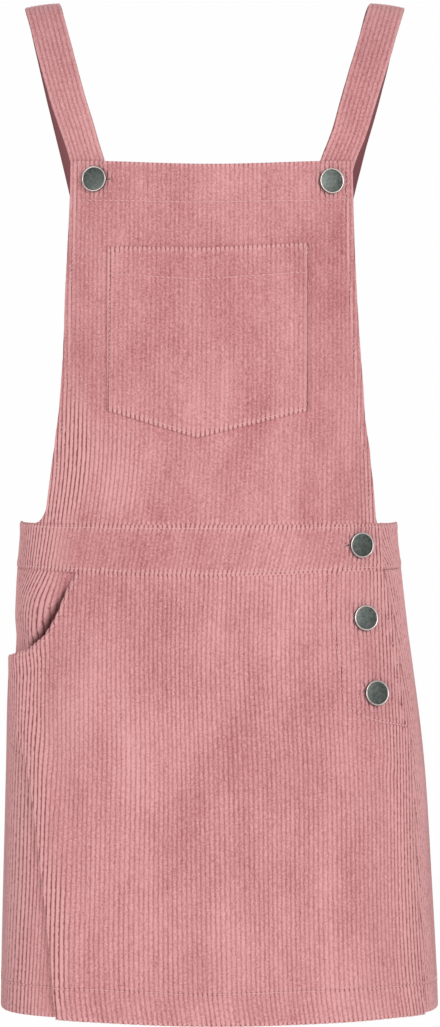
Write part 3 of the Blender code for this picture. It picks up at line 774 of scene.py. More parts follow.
facing_across = np.linspace(FACING_LEFT, FACING_RIGHT, 151)
facing_seam = dipped(BAND_BOTTOM, BAND_DIP, facing_across, BAND_RIGHT) - SEAM_GAP
facing_top = np.column_stack([facing_across, facing_seam])
facing_bottom = np.column_stack([facing_across, height_at(POCKET_MOUTH, facing_across) - FACING_DEPTH])
facing_outline = drawn(np.vstack([facing_top, facing_bottom[::-1], facing_top[:1]]))[:-1]
facing_paths = wale_paths(SKIRT_TOP, (
    (-0.448, -0.24, 10, -0.20, 0, -0.170, -40, -0.140, -36, -0.122, -16, -0.103, -8),
    (-0.464, -0.24, 10, -0.20, 0, -0.170, -40, -0.140, -34, -0.122, -16, -0.103, -8),
    (-0.478, -0.24, 10, -0.20, 3, -0.170, -16, -0.140, -10, -0.103, -4),
    (-0.495, -0.24, 12, -0.20, 4, -0.170, -3, -0.140, 0, -0.103, -2),
    (-0.530, -0.24, 10, -0.20, 4, -0.170, -2, -0.140, -2, -0.103, -2),
))
mouth = drawn(POCKET_MOUTH)
covered = mouth - np.outer(MOUTH_COVER * ease((HOLLOW_RIGHT - mouth[:, 0]) / COVER_EASE), (1, 0))


def mouth_depth(across, up):
    """How far in the facing is beside the front's edge, from 0 to 1, where the pocket gapes. The edge
    stands off the facing, so seen from the front it covers a strip beyond its own line. It also sets the
    facing's painted shadow there."""
    away = nearest(covered, across, up) * (up > height_at(covered.tolist(), across))
    along = ease((across - HOLLOW_LEFT) / HOLLOW_EASE) * ease((HOLLOW_RIGHT - across) / HOLLOW_EASE)
    return ease(HOLLOW_CORE - away / HOLLOW_REACH) * along


def mouth_hollow(across, up):
    """The facing falls away towards the pocket."""
    return -MOUTH_HOLLOW * mouth_depth(across, up)


# The facing sinks and is darkened as painted shadow along the pocket's mouth
facing = cloth_shell("hip_pocket_facing_panel", facing_outline, facing_paths, facing_place,
                     folds=mouth_hollow, bend=FRONT_BEND, shade=mouth_depth)
sewn(facing, "hip_pocket_facing")

underlap_outline = drawn([(UNDERLAP_LEFT, BAND_TOP), (UNDERLAP_RIGHT, BAND_TOP), *UNDERLAP_BOTTOM[::-1],
                          (UNDERLAP_LEFT, BAND_TOP)])[:-1]
straight_paths = wale_paths(SKIRT_TOP, ((-0.8, 0.0, 0), (0.0, 0.0, 0)))
underlap = cloth_shell("side_underlap_strip", underlap_outline, straight_paths, under_place, ridge=0.0003,
                       per_wale=4)
sewn(underlap, "side_underlap")


# Skirt front: one flared panel of the same corduroy, with a scooped hip pocket at its left edge and the
# overlap of the buttoned side opening at its right. Topstitching holds the pocket's mouth, the overlap's
# facing and the turned hem.
HEM_DIP = 0.0044
HEM_DIP_REACH = 0.190
MOUTH_GAPE = 0.0030
LAP_RISE = 0.0028
LAP_EASE = 0.020
LAPS = (
    Side(BAND_TOP, -0.1690, 0.1060),
    Side(-0.5050, -0.1690, 0.1080),
    Side(-0.5600, -0.1625, 0.1150),
    Side(-0.6100, -0.1385, 0.1540),
    Side(-0.6900, -0.1265, 0.1552),
    Side(-0.7560, -0.1195, 0.1588),
    Side(-0.8100, -0.1145, 0.1615),
)
SLOT_HIDDEN = 0.0098
SLOT_OUTER = 0.0080
SLOT_SHADE_WIDTH = 0.0008
DIMPLE = 0.0012
DIMPLE_WIDTH = 0.013
CREASE = 0.00065
CREASE_AT = 0.0125
CREASE_WIDTH = 0.005
# Two sets of creases round a button: how many, how strong, turned how far, and further for each button
CREASES = ((7, 1.0, 0.0, 1.3), (11, 0.6, 2.1, 1.0))
MOUTH_STITCH_IN = 0.0024
SIDE_STITCH_IN = 0.0070
SIDE_STITCH_END = -0.575
Button = namedtuple("Button", "node across height floor turn")
SKIRT_BUTTONS = (
    Button("button_placket_upper", 0.1235, -0.4844, CLOTH, 10.0),
    Button("button_placket_lower", 0.1310, -0.5435, CLOTH, 10.0),
)
FACING_STITCH = (
    (0.0925, -0.4515), (0.0942, -0.4743), (0.0989, -0.4969), (0.1000, -0.5096), (0.1041, -0.5254),
    (0.1027, -0.5416), (0.1062, -0.5505), (0.1152, -0.5586), (0.1212, -0.5627), (0.1359, -0.5663),
    (0.1506, -0.5686), (0.1640, -0.5716),
)
FRONT_HEM_STITCH = (
    (-0.1315, -0.7751), (-0.0925, -0.7753), (-0.0155, -0.7784), (0.0645, -0.7763), (0.1485, -0.7748),
    (0.1730, -0.7742),
)


def lap(across, up):
    """How far a front piece rises to lie over the back piece at a side opening or seam."""
    rise = LAP_RISE * ease(1 + (across - on_edge(LAPS, "right", up)) / LAP_EASE)
    below_mouth = ease((POCKET_MOUTH[3][1] - up) / (POCKET_MOUTH[3][1] - POCKET_MOUTH[0][1]))
    return rise + LAP_RISE * below_mouth * ease(1 + (on_edge(LAPS, "left", up) - across) / LAP_EASE)


def front_place(across, up, out):
    """The waistband's front lies on the form and laps over its back at the right."""
    return on_form(FRONT_GRID, across, up, out + lap(across, up))


def skirt_place(across, up, out):
    """The skirt's front also stands a little off its pocket's facing along the scooped mouth."""
    near = ease(1 + (up - height_at(POCKET_MOUTH, across)) / LAP_EASE) * (across < POCKET_MOUTH[-1][0])
    along = np.clip((across - POCKET_MOUTH[0][0]) / (POCKET_MOUTH[-1][0] - POCKET_MOUTH[0][0]), 0, 1)
    return front_place(across, up, out + MOUTH_GAPE * near * np.sin(math.pi * along))


def beside(line, offset):
    """A line moved sideways, to its left as it runs."""
    slope = np.gradient(line, axis=0)
    slope /= np.hypot(slope[:, 0], slope[:, 1])[:, None]
    return line + offset * np.column_stack([-slope[:, 1], slope[:, 0]])


def buttonholes(buttons, reaches):
    """Each slot, level. It reaches towards centre front, where some show an end beside the button."""
    inner = [(button.across - math.copysign(reach, button.across), button.height)
             for button, reach in zip(buttons, reaches)]
    outer = [(button.across + math.copysign(SLOT_OUTER, button.across), button.height) for button in buttons]
    return [drawn(ends) for ends in zip(inner, outer)]


def slot_shade(slots):
    """The painted shade inside each buttonhole's slit, from 0 to 1."""
    middles = np.concatenate([drawn(slot, EDGE_STEP) for slot in slots])
    return lambda across, up: bell(nearest(middles, across, up), SLOT_SHADE_WIDTH)


def puckers(buttons):
    """The dimple and the small uneven creases that a button pulls into the cloth round it."""
    def dent(across, up):
        out = np.zeros(len(up))
        for number, button in enumerate(buttons):
            right, above = across - button.across, up - button.height
            away, angle = np.hypot(right, above), np.arctan2(above, right)
            rays = sum(strength * np.sin(count * angle + turn + further * number)
                       for count, strength, turn, further in CREASES)
            out += CREASE * rays * bell(away - CREASE_AT, CREASE_WIDTH) - DIMPLE * bell(away, DIMPLE_WIDTH)
        return out
    return dent


seam_across = np.linspace(POCKET_MOUTH[-1][0], BAND_RIGHT, 250)[1:]
seam = np.column_stack([seam_across, dipped(BAND_BOTTOM, BAND_DIP, seam_across, BAND_RIGHT) - SEAM_GAP])
right_edge = drawn([(row.right, row.height) for row in SKIRT_SEAMS[1:]])
left_edge = drawn([(row.left, row.height) for row in SKIRT_SEAMS[3:]])
right_edge = right_edge[right_edge[:, 1] > dipped(HEM, HEM_DIP, right_edge[:, 0], HEM_DIP_REACH)]
left_edge = left_edge[left_edge[:, 1] > dipped(HEM, HEM_DIP, left_edge[:, 0], HEM_DIP_REACH)]
hem_across = np.linspace(right_edge[-1, 0], left_edge[-1, 0], 300)
hem_edge = np.column_stack([hem_across, dipped(HEM, HEM_DIP, hem_across, HEM_DIP_REACH)])
skirt_front_outline = drawn(np.vstack([mouth, seam, right_edge, hem_edge, left_edge[::-1]]))[:-1]
skirt_front_paths = wale_paths(SKIRT_TOP, (
    (-0.450, -0.158, -4, -0.103, -3, -0.046, -1, -0.007, -3, 0.032, -2, 0.071, -3, 0.095, -2, 0.141, -1),
    (-0.494, -0.139, -4, -0.103, -2, -0.046, -1, -0.007, -3, 0.032, -2, 0.071, -1, 0.095, 0, 0.141, 1),
    (-0.538, -0.170, -4, -0.139, -3, -0.103, -2, -0.008, -1, 0.031, 0, 0.095, -1, 0.139, -1, 0.163, -3),
    (-0.594, -0.171, -5, -0.142, -3, -0.082, -3, -0.011, -1, 0.028, 0, 0.067, 0, 0.134, 0, 0.154, -3),
    (-0.658, -0.172, -5, -0.140, -3, -0.108, -2, -0.052, -2, -0.013, 0, 0.066, -1, 0.131, -1, 0.155, 0),
    (-0.722, -0.173, -4, -0.144, -3, -0.084, -2, -0.013, 0, 0.066, 0, 0.130, 0, 0.168, 2),
    (-0.750, -0.173, -4, -0.145, -2, -0.085, 0, -0.014, 0, 0.064, 0, 0.104, 1, 0.129, 2, 0.165, 3),
    (-0.774, -0.173, -4, -0.145, 0, -0.110, 0, 0.024, 0, 0.087, 2, 0.115, 4, 0.165, 6),
    (-0.784, -0.160, 1, -0.127, 5, -0.100, 7, 0.024, 7, 0.103, 8, 0.147, 8, 0.163, 9),
    (-0.800, -0.160, 2, -0.127, 8, -0.054, 8, 0.024, 8, 0.103, 9, 0.163, 11),
))
mouth_stitch = beside(mouth[4:], -MOUTH_STITCH_IN)
hem_stitch = drawn(FRONT_HEM_STITCH)
side_stitch = beside(right_edge[right_edge[:, 1] > SIDE_STITCH_END], -SIDE_STITCH_IN)
facing_stitch = drawn(FACING_STITCH)
skirt_slots = buttonholes(SKIRT_BUTTONS, (SLOT_HIDDEN, SLOT_HIDDEN))
skirt_folds = soft_folds((
    (-0.100, -0.520, -0.112, -0.840, 0.030, 0.0016),
    (-0.060, -0.600, -0.062, -0.845, 0.024, -0.0014),
    (-0.004, -0.560, -0.010, -0.850, 0.034, 0.0014),
    (0.052, -0.640, 0.056, -0.850, 0.024, -0.0016),
    (0.100, -0.600, 0.112, -0.850, 0.026, 0.0014),
    (-0.128, -0.560, -0.120, -0.640, 0.016, -0.0010),
))
SKIRT_LOOSE = (
    (0.0, -0.640, 0.40, 0.30, 0.20),
    (-0.1360, -0.740, 0.020, 0.075, 1.0),
    (-0.1480, -0.640, 0.016, 0.060, 1.0),
)
skirt_front = cloth_shell(
    "skirt_front_panel", skirt_front_outline, skirt_front_paths, skirt_place, folds=skirt_folds,
    seams=[mouth_stitch, hem_stitch, side_stitch, facing_stitch, *skirt_slots], rings=SKIRT_BUTTONS,
    dents=puckers(SKIRT_BUTTONS), scallop=0.0006, bend=FRONT_BEND, loose=SKIRT_LOOSE,
    shade=slot_shade(skirt_slots))
sewn(skirt_front, "skirt_front")


# Straps: two doubled strips of the corduroy, 28 mm wide with the wales along them, sewn into the back
# waistband, laid over the shoulders and buttoned under the bib's top corners.
STRAP_WIDTH = 0.0285
STRAP_CLOTH = 0.0019
STRAP_CUP = 7.0
STRAP_SAMPLES = 12
STRAP_LOOSE = ((0.0, 0.1, 0.06, 0.15, 0.22),)
Sewn = namedtuple("Sewn", "height left right turn")
STRAP_AT_BIB = (
    Sewn(-0.1660, -0.0878, 0.0905, -17.0),
    Sewn(-0.1440, -0.0948, 0.0976, -19.5),
    Sewn(-0.1240, -0.1006, 0.1032, -21.5),
)
Free = namedtuple("Free", "height depth left right turn tilt")
STRAP_FREE = (
    Free(-0.1020, -0.0652, -0.1054, 0.1073, -21.0, 0.0),
    Free(-0.0780, -0.0580, -0.1134, 0.1145, -19.0, 0.0),
    Free(-0.0560, -0.0490, -0.1198, 0.1213, -15.0, 1.0),
    Free(-0.0360, -0.0370, -0.1254, 0.1276, -11.0, 3.0),
    Free(-0.0160, -0.0215, -0.1310, 0.1335, -6.0, 6.0),
    Free(-0.0035, -0.0085, -0.1348, 0.1376, -2.0, 7.6),
    Free(-0.0005, 0.0050, -0.1358, 0.1388, 1.0, 7.6),
    Free(-0.0060, 0.0180, -0.1340, 0.1362, 4.0, 7.0),
    Free(-0.0200, 0.0315, -0.1312, 0.1326, 7.0, 5.0),
    Free(-0.0420, 0.0430, -0.1265, 0.1275, 8.0, 2.0),
    Free(-0.0776, 0.0530, -0.1184, 0.1183, 8.0, 0.0),
    Free(-0.1136, 0.0585, -0.1098, 0.1082, 8.0, 0.0),
    Free(-0.1600, 0.0628, -0.0990, 0.0970, 7.0, 0.0),
    Free(-0.2200, 0.0672, -0.0850, 0.0832, 6.0, 0.0),
    Free(-0.2850, 0.0705, -0.0698, 0.0682, 5.0, 0.0),
    Free(-0.3450, 0.0726, -0.0558, 0.0542, 4.5, 0.0),
)
STRAP_AT_BACK = (
    Sewn(-0.4060, 0.0415, -0.0400, 4.4),
    Sewn(-0.4385, 0.0340, -0.0330, 4.4),
)


def through(rows, spots):
    """A smooth curve through rows of numbers, read at spots counted in rows."""
    rows = np.array(rows, float)
    rows = np.vstack([2 * rows[0] - rows[1], rows, 2 * rows[-1] - rows[-2]])
    low = np.clip(spots.astype(int), 0, len(rows) - 4)
    part = (spots - low)[:, None]
    a, b, c, d = (rows[low + k] for k in range(4))
    return 0.5 * (2 * b + (c - a) * part + (2 * a - 5 * b + 4 * c - d) * part**2
                  + (3 * b - a - 3 * c + d) * part**3)


def strap_route(side):
    """Middle, sideways direction and outward normal of a strap at each of its stations, and how far
    each lies along it."""
    mirror = 1 if side == "left" else -1
    floor = np.array([-UNDER_GAP - STRAP_CLOTH - WALE_HEIGHT])
    stations = []
    for rows, grid in ((STRAP_AT_BIB, FRONT_GRID), (STRAP_FREE, None), (STRAP_AT_BACK, BACK_GRID)):
        for row in rows:
            place = getattr(row, side)
            if grid is None:
                centre = (place, row.depth, row.height)
            else:
                centre = on_form(grid, np.array([place]), np.array([row.height]), floor)[0]
            turn, tilt = math.radians(row.turn), math.radians(getattr(row, "tilt", 0.0))
            way = (math.cos(turn) * math.cos(tilt), math.sin(turn) * math.cos(tilt) * mirror,
                   math.sin(tilt) * mirror)
            stations.append((*centre, *way))
    spots = np.arange((len(stations) - 1) * STRAP_SAMPLES + 1) / STRAP_SAMPLES
    course = through(stations, spots)
    ahead, behind = (through(stations, np.clip(spots + step, 0, len(stations) - 1))
                     for step in (1 / STRAP_SAMPLES, -1 / STRAP_SAMPLES))
    forward = (ahead - behind)[:, :3]
    forward /= np.linalg.norm(forward, axis=1)[:, None]
    way = course[:, 3:] - forward * np.einsum("ij,ij->i", course[:, 3:], forward)[:, None]
    way /= np.linalg.norm(way, axis=1)[:, None]
    normal = np.cross(way, forward)
    length = np.concatenate([[0.0], np.cumsum(np.linalg.norm(np.diff(course[:, :3], axis=0), axis=1))])
    return course[:, :3], way, normal, length


def strap_place_on(route):
    """Lay a strap's flat cloth along its route."""
    centre, way, normal, length = route

    def place(across, along, out):
        middle, sideways, outward = (
            np.column_stack([np.interp(along, length, rows[:, axis]) for axis in range(3)])
            for rows in (centre, way, normal))
        lift = out - STRAP_CUP * across**2 / 2
        return middle + sideways * across[:, None] + outward * lift[:, None]
    return place


strap_paths = np.tile(GRID_WALES, (len(GRID_UP), 1))
for side in ("left", "right"):
    route = strap_route(side)
    length = route[3][-1]
    half = STRAP_WIDTH / 2
    strap_outline = drawn([(-half, 0), (half, 0), (half, length), (-half, length), (-half, 0)])[:-1]
    strap = cloth_shell(f"strap_{side}_band", strap_outline, strap_paths, strap_place_on(route),
                        thickness=STRAP_CLOTH, ridge=0.0005, row_step=0.003, loose=STRAP_LOOSE)
    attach(strap, "root")
    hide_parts(f"strap_{side}")


# Bib: one panel of corduroy from the waistband to the chest. Its top is turned down as a 30 mm hem and
# stitched across, its two sides are turned in and stitched, and its top corners are buttoned to the straps.
BIB_TOP = -0.1240
BIB_TOP_DIP = 0.0028
BIB_EASE_FROM = -0.345
BIB_MIDDLE = -0.250
BIB_SIDES = (
    Side(BIB_TOP, -0.1135, 0.1138),
    Side(-0.1550, -0.1141, 0.1146),
    Side(-0.1940, -0.1159, 0.1161),
    Side(-0.2340, -0.1182, 0.1185),
    Side(-0.2690, -0.1194, 0.1212),
    Side(-0.3000, -0.1219, 0.1244),
    Side(-0.3280, -0.1245, 0.1270),
    Side(-0.3520, -0.1280, 0.1320),
    Side(-0.3760, -0.1318, 0.1348),
    Side(-0.3980, -0.1352, 0.1365),
    Side(-0.4030, -0.1372, 0.1373),
    Side(-0.4065, -0.1402, 0.1379),
    Side(-0.4090, -0.1435, 0.1383),
    Side(-0.4105, -0.1492, 0.1385),
)
BIB_HEM_STITCH = ((-0.1122, -0.1548), (-0.0122, -0.1569), (0.1134, -0.1548))
BIB_STITCH_LEFT = 0.0056
BIB_STITCH_RIGHT = 0.0064
BIB_STITCH_TOP = -0.126
BIB_STITCH_END = -0.402
SLOT_SHOWN = 0.0130
BIB_LOOSE = (
    (-0.1130, -0.3580, 0.0200, 0.0480, 1.0),
    (-0.1255, -0.3920, 0.0120, 0.0240, 1.0),
    (-0.0820, -0.3700, 0.0300, 0.0420, 0.3),
)
BIB_BUTTONS = (
    Button("button_bib_left", -0.0920, -0.1386, CLOTH, 0.0),
    Button("button_bib_right", 0.0946, -0.1402, CLOTH, 0.0),
)


def bib_place(across, up, out):
    """The bib lies on the form, and its lower right corner rises with the waistband's overlap."""
    fade = ease((BIB_EASE_FROM - up) / (BIB_EASE_FROM - BAND_TOP))
    return on_form(FRONT_GRID, across, up, out + fade * lap(across, up))


bib_across = np.linspace(BIB_SIDES[0].left, BIB_SIDES[0].right, 226)
bib_top = np.column_stack([bib_across, dipped(BIB_TOP, BIB_TOP_DIP, bib_across, BIB_SIDES[0].right)])
bib_right = drawn([(row.right, row.height) for row in BIB_SIDES])
bib_left = drawn([(row.left, row.height) for row in BIB_SIDES])
bib_outline = drawn(np.vstack([bib_top, bib_right[1:], bib_left[::-1]]))[:-1]
bib_paths = wale_paths(BIB_MIDDLE, (
    (-0.120, 0.0, 0, 0.01, 0),
    (-0.340, -0.12, -1, -0.05, -1, 0.0, 0, 0.12, 0),
    (-0.360, -0.106, -2, -0.066, -3, -0.034, -3, 0.03, -2, 0.06, 0, 0.12, 0),
    (-0.386, -0.106, -8, -0.066, -6, -0.034, -4, 0.0, -2, 0.03, -1, 0.12, 1),
    (-0.411, -0.106, -9, -0.066, -7, -0.034, -5, 0.0, -3, 0.03, -2, 0.12, 1),
))
bib_hem_stitch = drawn(BIB_HEM_STITCH)
bib_sewn = (bib_left[:, 1] < BIB_STITCH_TOP) & (bib_left[:, 1] > BIB_STITCH_END)
bib_left_stitch = beside(bib_left[bib_sewn], BIB_STITCH_LEFT)
bib_right_stitch = beside(bib_right[2:-3], -BIB_STITCH_RIGHT)
bib_slots = buttonholes(BIB_BUTTONS, (SLOT_SHOWN, SLOT_HIDDEN))
bib_folds = soft_folds((
    (-0.100, -0.330, -0.040, -0.405, 0.020, -0.0014),
    (0.095, -0.340, 0.060, -0.405, 0.018, -0.0012),
    (-0.020, -0.350, 0.010, -0.405, 0.022, 0.0010),
    (-0.096, -0.160, -0.090, -0.300, 0.022, 0.0010),
    (0.096, -0.160, 0.100, -0.290, 0.020, -0.0010),
))
bib = cloth_shell(
    "bib_front_panel", bib_outline, bib_paths, bib_place, folds=bib_folds,
    seams=[bib_left_stitch, bib_right_stitch, *bib_slots], pull=0.0004, rings=BIB_BUTTONS,
    dents=puckers(BIB_BUTTONS), bend=FRONT_BEND, loose=BIB_LOOSE, shade=slot_shade(bib_slots))
sewn(bib, "bib_front")


# Bib pocket: a five-sided patch of corduroy with a hemmed top, topstitched to the bib along its sides and
# its blunt point, with a small triangle of stitches at each top corner.
POCKET_LEFT = -0.0810
POCKET_RIGHT = 0.0765
POCKET_TOP = ((POCKET_LEFT, -0.1922), (0.0, -0.1930), (POCKET_RIGHT, -0.1892))
POCKET_BOTTOM = ((POCKET_LEFT, -0.3197), (-0.0100, -0.3412), (POCKET_RIGHT, -0.3197))
POCKET_HEM_STITCH = ((-0.0795, -0.2128), (-0.0113, -0.2173), (0.0752, -0.2118))
POCKET_STITCH_IN = 0.0020
POCKET_STITCH_END = 0.0015
CORNER_STITCHES = (
    ((-0.0795, -0.1940), (-0.0720, -0.1940), (-0.0795, -0.2015), (-0.0795, -0.1940)),
    ((0.0750, -0.1908), (0.0675, -0.1912), (0.0750, -0.1985), (0.0750, -0.1908)),
)


def pocket_place(across, up, out):
    """The patch pocket, on top of the bib's wales."""
    raised = out + CLOTH + WALE_HEIGHT + SEAM_GAP + bib_folds(across, up)
    return on_form(FRONT_GRID, across, up, raised)


pocket_outline = drawn([*POCKET_TOP, *POCKET_BOTTOM[::-1], POCKET_TOP[0]])[:-1]
pocket_sides = drawn([POCKET_TOP[0], *POCKET_BOTTOM, POCKET_TOP[-1]])
pocket_side_stitch = beside(pocket_sides[1:-1], POCKET_STITCH_IN)
pocket_side_stitch = pocket_side_stitch[(pocket_side_stitch[:, 0] > POCKET_LEFT + POCKET_STITCH_END)
                                        & (pocket_side_stitch[:, 0] < POCKET_RIGHT - POCKET_STITCH_END)]
pocket_hem_stitch = drawn(POCKET_HEM_STITCH)
corner_stitches = [drawn(corners) for corners in CORNER_STITCHES]
pocket = cloth_shell(
    "bib_pocket_patch", pocket_outline, bib_paths, pocket_place,
    seams=[pocket_side_stitch, *corner_stitches], scallop=0.0006)
sewn(pocket, "bib_pocket")


# Waistband: two doubled strips of corduroy, 36 mm deep, stitched along both edges. The front one buttons
# over the back one at the right; they meet edge to edge at the left.
BAND_LEFT = -0.1860
BAND_CLOTH = 0.0018
BAND_MIDDLE = -0.430
WAIST_BUTTON = Button("button_waistband", 0.1210, -0.4269, BAND_CLOTH, 10.0)
BAND_STITCH_IN = 0.0021
BAND_BACK_DIP = 0.0042
BAND_BACK_REACH = 0.200

band_across = np.linspace(BAND_LEFT, BAND_RIGHT, 331)
band_top = np.column_stack([band_across, np.full(len(band_across), BAND_TOP)])
band_bottom = np.column_stack([band_across, dipped(BAND_BOTTOM, BAND_DIP, band_across, BAND_RIGHT)])
band_outline = drawn(np.vstack([band_top, band_bottom[::-1], band_top[:1]]))[:-1]
band_paths = wale_paths(BAND_MIDDLE, (
    (-0.411, -0.186, -6, -0.154, -8, -0.130, -10, -0.060, -10, 0.001, -12, 0.025, -12, 0.070, -13, 0.144, 8),
    (-0.432, -0.186, -8, -0.154, -10, -0.111, -13, -0.060, -11, 0.001, -11, 0.025, -12, 0.048, -15,
     0.072, -14, 0.092, -13, 0.143, 3),
    (-0.450, -0.186, -10, -0.153, -11, -0.111, -11, -0.060, -11, 0.001, -12, 0.024, -14, 0.048, -17,
     0.072, -20, 0.092, -16, 0.143, -6),
))
band_top_stitch = band_top[3:-3] - (0, BAND_STITCH_IN)
band_bottom_stitch = band_bottom[3:-3] + (0, BAND_STITCH_IN)
slots = buttonholes([WAIST_BUTTON], (SLOT_SHOWN,))
band = cloth_shell(
    "waistband_front_band", band_outline, band_paths, front_place, thickness=BAND_CLOTH, ridge=0.00055,
    row_step=0.003, scallop=0.0009, seams=[band_top_stitch, band_bottom_stitch, *slots], rings=[WAIST_BUTTON],
    dents=puckers([WAIST_BUTTON]), bend=FRONT_BEND, shade=slot_shade(slots))
sewn(band, "waistband_front")


def band_back_top(across):
    """The waistband back's upper edge, which lies lower behind and rises to the sides."""
    return BAND_TOP - BAND_BACK_DIP * (1 - np.clip(np.abs(across) / BAND_BACK_REACH, 0, 1) ** 4)


right_end = BAND_RIGHT - TUCK - half_round(BAND_TOP)
left_end = BAND_LEFT - 2 * SEAM_GAP + half_round(BAND_TOP)
levels = np.linspace(band_back_top(right_end), BAND_BOTTOM, 35)
back_right = np.column_stack([BAND_RIGHT - TUCK - half_round(levels), levels])
levels = np.linspace(band_back_top(left_end), BAND_BOTTOM, 35)
back_left = np.column_stack([BAND_LEFT - 2 * SEAM_GAP + half_round(levels), levels])
band_back_across = np.linspace(right_end, left_end, 450)
band_back_edge = np.column_stack([band_back_across, band_back_top(band_back_across)])
band_back_outline = drawn(np.vstack([back_right[:0:-1], band_back_edge[:-1], back_left,
                                     back_right[-1:]]))[:-1]
band_back_paths = wale_paths(BAND_MIDDLE, (
    (-0.411, -0.30, 30, -0.22, 16, 0.0, 8, 0.22, -8, 0.30, -14),
    (-0.447, -0.30, 30, -0.22, 14, 0.0, 6, 0.22, -10, 0.30, -16),
))
back_bottom = np.column_stack([band_back_across, np.full(len(band_back_across), BAND_BOTTOM)])
back_stitches = [band_back_edge[3:-3] - (0, BAND_STITCH_IN), back_bottom[3:-3] + (0, BAND_STITCH_IN)]
band_back = cloth_shell(
    "waistband_back_band", band_back_outline, band_back_paths, back_place, thickness=BAND_CLOTH,
    per_wale=4, scallop=0.0004, seams=back_stitches, bend=BACK_BEND)
sewn(band_back, "waistband_back")


# Topstitching: matching polyester thread in lock stitches. Along the two top hems they are 3.4 mm long and
# lie on the pile. The rest are 2.9 mm long, one to a wale, and sunk into it, and each buttonhole has an
# oval of short ones. A run is one mesh of short rods whose ends dive into the cloth.
LONG_STITCH = (0.0044, 0.0034)
SHORT_STITCH = (WALE_PITCH, 0.0029)
HOLE_STITCH = (0.0013, 0.0015)
STITCH_START = 0.0006
SLANT = 0.0003
SLACK = 0.00012
SLACK_TURN = 5100
THREAD_RADIUS = 0.00032
SUNK = RIDGE - 0.0003
SLOT_RIM = 0.0011
OVAL_POINTS = 49
PROBE = 0.001
# A stitch's rod: its sides, and at each of its rings how far along it is, how high and how thick
ROD_SIDES = 6
ROD_PARTS = np.array([0.0, 0.16, 0.5, 0.84, 1.0])
ROD_RISE = np.array([-0.0006, -0.00005, 0.0001, -0.00005, -0.0006])
ROD_GIRTH = (0.5, 0.9, 1.0, 0.9, 0.5)

# Mercerised-look spun polyester thread, a little paler and smoother than the pile round it, and mottled
# every 0.7 mm by its twist
thread, tree, shader = new_material("spun_polyester_topstitch_thread")
ply = add(tree, "TexNoise", Vector=add(tree, "TexCoord", out="Object"), Scale=1500.0, Detail=1.0)
tint = add(tree, "Mix", {"data_type": "RGBA"}, out=2, i0=ply, i6=linear("DDA3A4"), i7=linear("F4CBCA"))
feed(shader, Base_Color=tint, Roughness=0.6, Sheen_Weight=0.2)


def stitches(name, place, runs, lift, period, length):
    """Sew lines of stitches as one mesh of rods laid end to end, each slanting a little across its line."""
    points, faces = [], []
    for line in runs:
        steps = np.concatenate([[0.0], np.cumsum(np.hypot(*np.diff(line, axis=0).T))])
        for start in np.arange(STITCH_START, steps[-1] - length, period):
            spots = start + length * ROD_PARTS
            across = np.interp(spots, steps, line[:, 0])
            up = np.interp(spots, steps, line[:, 1])
            along = np.array([across[-1] - across[0], up[-1] - up[0]]) / length
            aside = SLACK * math.sin(start * SLACK_TURN) + SLANT * (2 * ROD_PARTS - 1)
            across += aside * along[1]
            up -= aside * along[0]
            middle = place(across, up, lift + ROD_RISE)
            outward = place(across, up, lift + ROD_RISE + PROBE) - middle
            outward /= np.linalg.norm(outward, axis=1)[:, None]
            forward = np.gradient(middle, axis=0)
            forward /= np.linalg.norm(forward, axis=1)[:, None]
            sideways = np.cross(forward, outward)
            base = len(points)
            for number, girth in enumerate(ROD_GIRTH):
                for side in range(ROD_SIDES):
                    turn = 2 * math.pi * side / ROD_SIDES
                    offset = sideways[number] * math.cos(turn) + outward[number] * math.sin(turn)
                    points.append(middle[number] + offset * THREAD_RADIUS * girth)
            last = base + (len(ROD_GIRTH) - 1) * ROD_SIDES
            for low in range(base, last, ROD_SIDES):
                high = low + ROD_SIDES
                for side in range(ROD_SIDES):
                    after = (side + 1) % ROD_SIDES
                    faces.append((low + side, high + side, high + after, low + after))
            faces.append(tuple(base + side for side in range(ROD_SIDES)))
            faces.append(tuple(last + side for side in reversed(range(ROD_SIDES))))
    mesh = bpy.data.meshes.new(name)
    mesh.from_pydata([tuple(point) for point in points], [], faces)
    mesh.shade_smooth()
    mesh.materials.append(thread)
    piece = placed(name, mesh)
    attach(piece, "root")


def folded(place, folds):
    """Where a panel's cloth lies with its folds."""
    return lambda across, up, out: place(across, up, out + folds(across, up))


def slot_edges(slots):
    """The oval that a buttonhole's thread runs in, round each slot."""
    turns = np.linspace(0, 2 * math.pi, OVAL_POINTS)
    ovals = []
    for slot in slots:
        middle, half = (slot[0] + slot[-1]) / 2, abs(slot[-1, 0] - slot[0, 0]) / 2 + SLOT_RIM
        ovals.append(drawn(middle + np.column_stack([half * np.cos(turns), SLOT_RIM * np.sin(turns)])))
    return ovals


